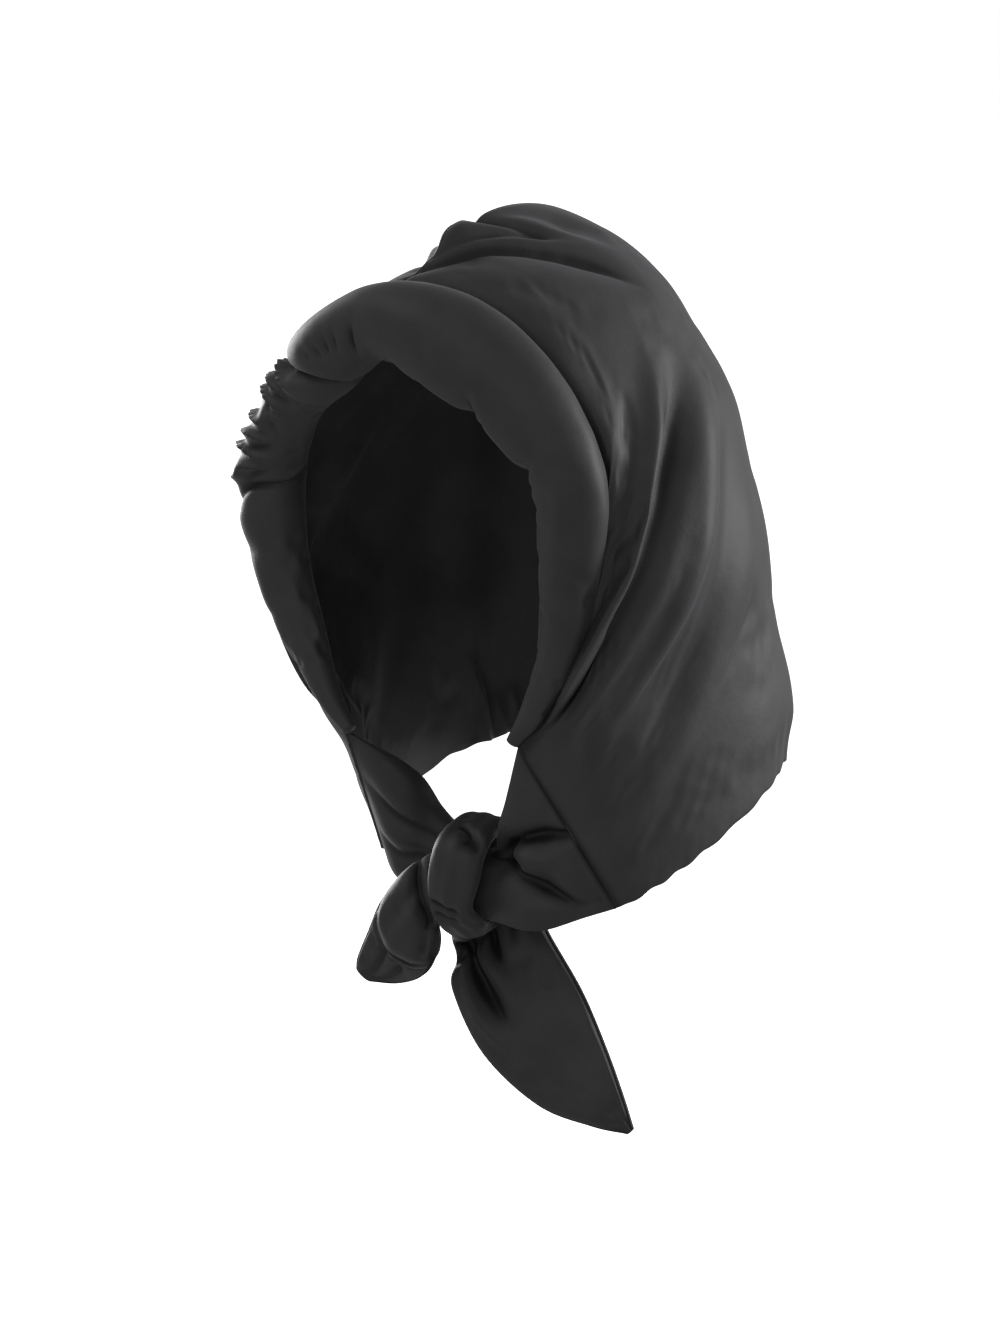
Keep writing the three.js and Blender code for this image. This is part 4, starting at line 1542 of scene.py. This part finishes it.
    def dress(self, piece: bpy.types.Object, cloth: bpy.types.Material) -> None:
        """Gives the strap its cloth and its place in the frame."""
        settle(piece, self.node, cloth)


def settle(
    piece: bpy.types.Object, node: str, cloth: bpy.types.Material
) -> None:
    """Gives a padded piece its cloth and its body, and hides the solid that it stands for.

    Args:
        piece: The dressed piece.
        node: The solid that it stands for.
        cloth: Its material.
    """
    piece.data.materials.append(cloth)
    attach(piece, BODY)
    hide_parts(node)
    LOG.info("%s: %d faces", piece.name, len(piece.data.polygons))


@dataclass(frozen=True)
class SoftLight:
    """Large soft lamp that looks at the hood."""

    name: str
    place: tuple[float, float, float]
    size: float
    power: float

    def build(self, target: Vector) -> bpy.types.Object:
        """Hangs the lamp.

        Args:
            target: The point that it looks at.

        Returns:
            The lamp as an object.
        """
        data = bpy.data.lights.new(self.name, "AREA")
        data.shape = "DISK"
        data.size = self.size
        data.energy = self.power
        lamp = bpy.data.objects.new(self.name, data)
        bpy.context.scene.collection.objects.link(lamp)
        lamp.location = Vector(self.place)
        lamp.rotation_mode = "QUATERNION"
        lamp.rotation_quaternion = (target - lamp.location).to_track_quat("-Z", "Y")
        return lamp


@dataclass
class Studio:
    """Pale floor, soft lamps and the camera at the photograph's angle."""

    azimuth: float = 40.0
    elevation: float = 5.0
    distance: float = 5.0
    seen_height: float = 0.6665
    sensor: float = 36.0
    target: tuple[float, float, float] = (-0.0036, -0.0292, -0.2204)
    floor_drop: float = 0.12
    floor_size: float = 30.0
    floor_colour: tuple[float, float, float, float] = (0.9, 0.9, 0.9, 1.0)
    floor_roughness: float = 0.9
    floor_glow: float = 1.0
    view_end: float = 100.0
    sky: float = 0.4
    lamps: tuple[SoftLight, ...] = (
        SoftLight("front_lamp", (1.2, -2.2, 0.7), 1.6, 5.0),
        SoftLight("left_lamp", (-2.1, 0.6, 0.1), 1.0, 33.0),
        SoftLight("left_high_lamp", (-1.2, -1.4, 1.6), 1.1, 6.5),
        SoftLight("right_lamp", (1.5, 2.1, 0.4), 1.2, 44.0),
    )

    def build(self) -> None:
        """Makes floor, sky, lamps and camera."""
        target = Vector(self.target)
        self.lay_floor()
        self.light_sky()
        for lamp in self.lamps:
            lamp.build(target)
        self.set_camera(target)
        bpy.context.scene.view_settings.view_transform = "Standard"

    def lay_floor(self) -> None:
        """Lays a plain pale floor below the hood."""
        low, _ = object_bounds()
        bpy.ops.object.select_all(action="DESELECT")
        bpy.ops.mesh.primitive_plane_add(
            size=self.floor_size, location=(0.0, 0.0, low.z - self.floor_drop)
        )
        floor = bpy.context.active_object
        floor.name = "pale_floor"
        paint = bpy.data.materials.new("pale_floor_paint")
        paint.use_nodes = True
        shader = paint.node_tree.nodes["Principled BSDF"]
        shader.inputs["Base Color"].default_value = self.floor_colour
        shader.inputs["Roughness"].default_value = self.floor_roughness
        shader.inputs["Emission Color"].default_value = (1.0, 1.0, 1.0, 1.0)
        shader.inputs["Emission Strength"].default_value = self.floor_glow
        floor.data.materials.append(paint)
        floor.visible_diffuse = False
        floor.visible_glossy = False
        floor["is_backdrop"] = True

    def light_sky(self) -> None:
        """Fills the surroundings with even white light."""
        world = bpy.data.worlds.new("white_surroundings")
        bpy.context.scene.world = world
        world.use_nodes = True
        nodes = world.node_tree.nodes
        links = world.node_tree.links
        seen = nodes.new("ShaderNodeLightPath")
        level = nodes.new("ShaderNodeMapRange")
        level.inputs["To Min"].default_value = self.sky
        level.inputs["To Max"].default_value = 1.0
        links.new(seen.outputs["Is Camera Ray"], level.inputs["Value"])
        links.new(level.outputs["Result"], nodes["Background"].inputs["Strength"])
        nodes["Background"].inputs["Color"].default_value = (1.0, 1.0, 1.0, 1.0)

    def set_camera(self, target: Vector) -> None:
        """Sets the camera at the photograph's angle.

        Args:
            target: The point in the middle of the picture.
        """
        turn = math.radians(self.azimuth)
        rise = math.radians(self.elevation)
        back = Vector(
            (math.sin(turn) * math.cos(rise), -math.cos(turn) * math.cos(rise), math.sin(rise))
        )
        data = bpy.data.cameras.new("photo_camera")
        data.sensor_width = self.sensor
        data.lens = self.sensor * self.distance / self.seen_height
        data.clip_end = self.view_end
        camera = bpy.data.objects.new("photo_camera", data)
        bpy.context.scene.collection.objects.link(camera)
        camera.location = target + back * self.distance
        camera.rotation_mode = "QUATERNION"
        camera.rotation_quaternion = (-back).to_track_quat("-Z", "Y")
        bpy.context.scene.camera = camera


def main() -> None:
    """Builds and dresses the hood, piece by piece, and sets the studio round it."""
    logging.basicConfig(level=logging.INFO, format="%(message)s")
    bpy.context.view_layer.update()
    shell = Nylon("shell_nylon").material()
    stuffed = Nylon("roll_nylon", crinkle=0.08).material()
    tied = Nylon("strap_nylon", crinkle=0.12).material()

    roll = FaceRoll()
    roll.dress(roll.build(), stuffed)
    for side in Side:
        panel = SidePanel(side, roll)
        panel.dress(panel.build(), shell)
    straps = (
        TiedStrap(Side.LEFT, roll, LEFT_STRAP, LEFT_CREASES, rim_from=0.62, cuff=0.7),
        TiedStrap(Side.RIGHT, roll, RIGHT_STRAP, RIGHT_CREASES, rim_from=0.72, knot_painted_shade=0.66),
    )
    for strap in straps:
        strap.dress(strap.build(), tied)
    Studio().build()


if __name__ == "__main__":
    main()
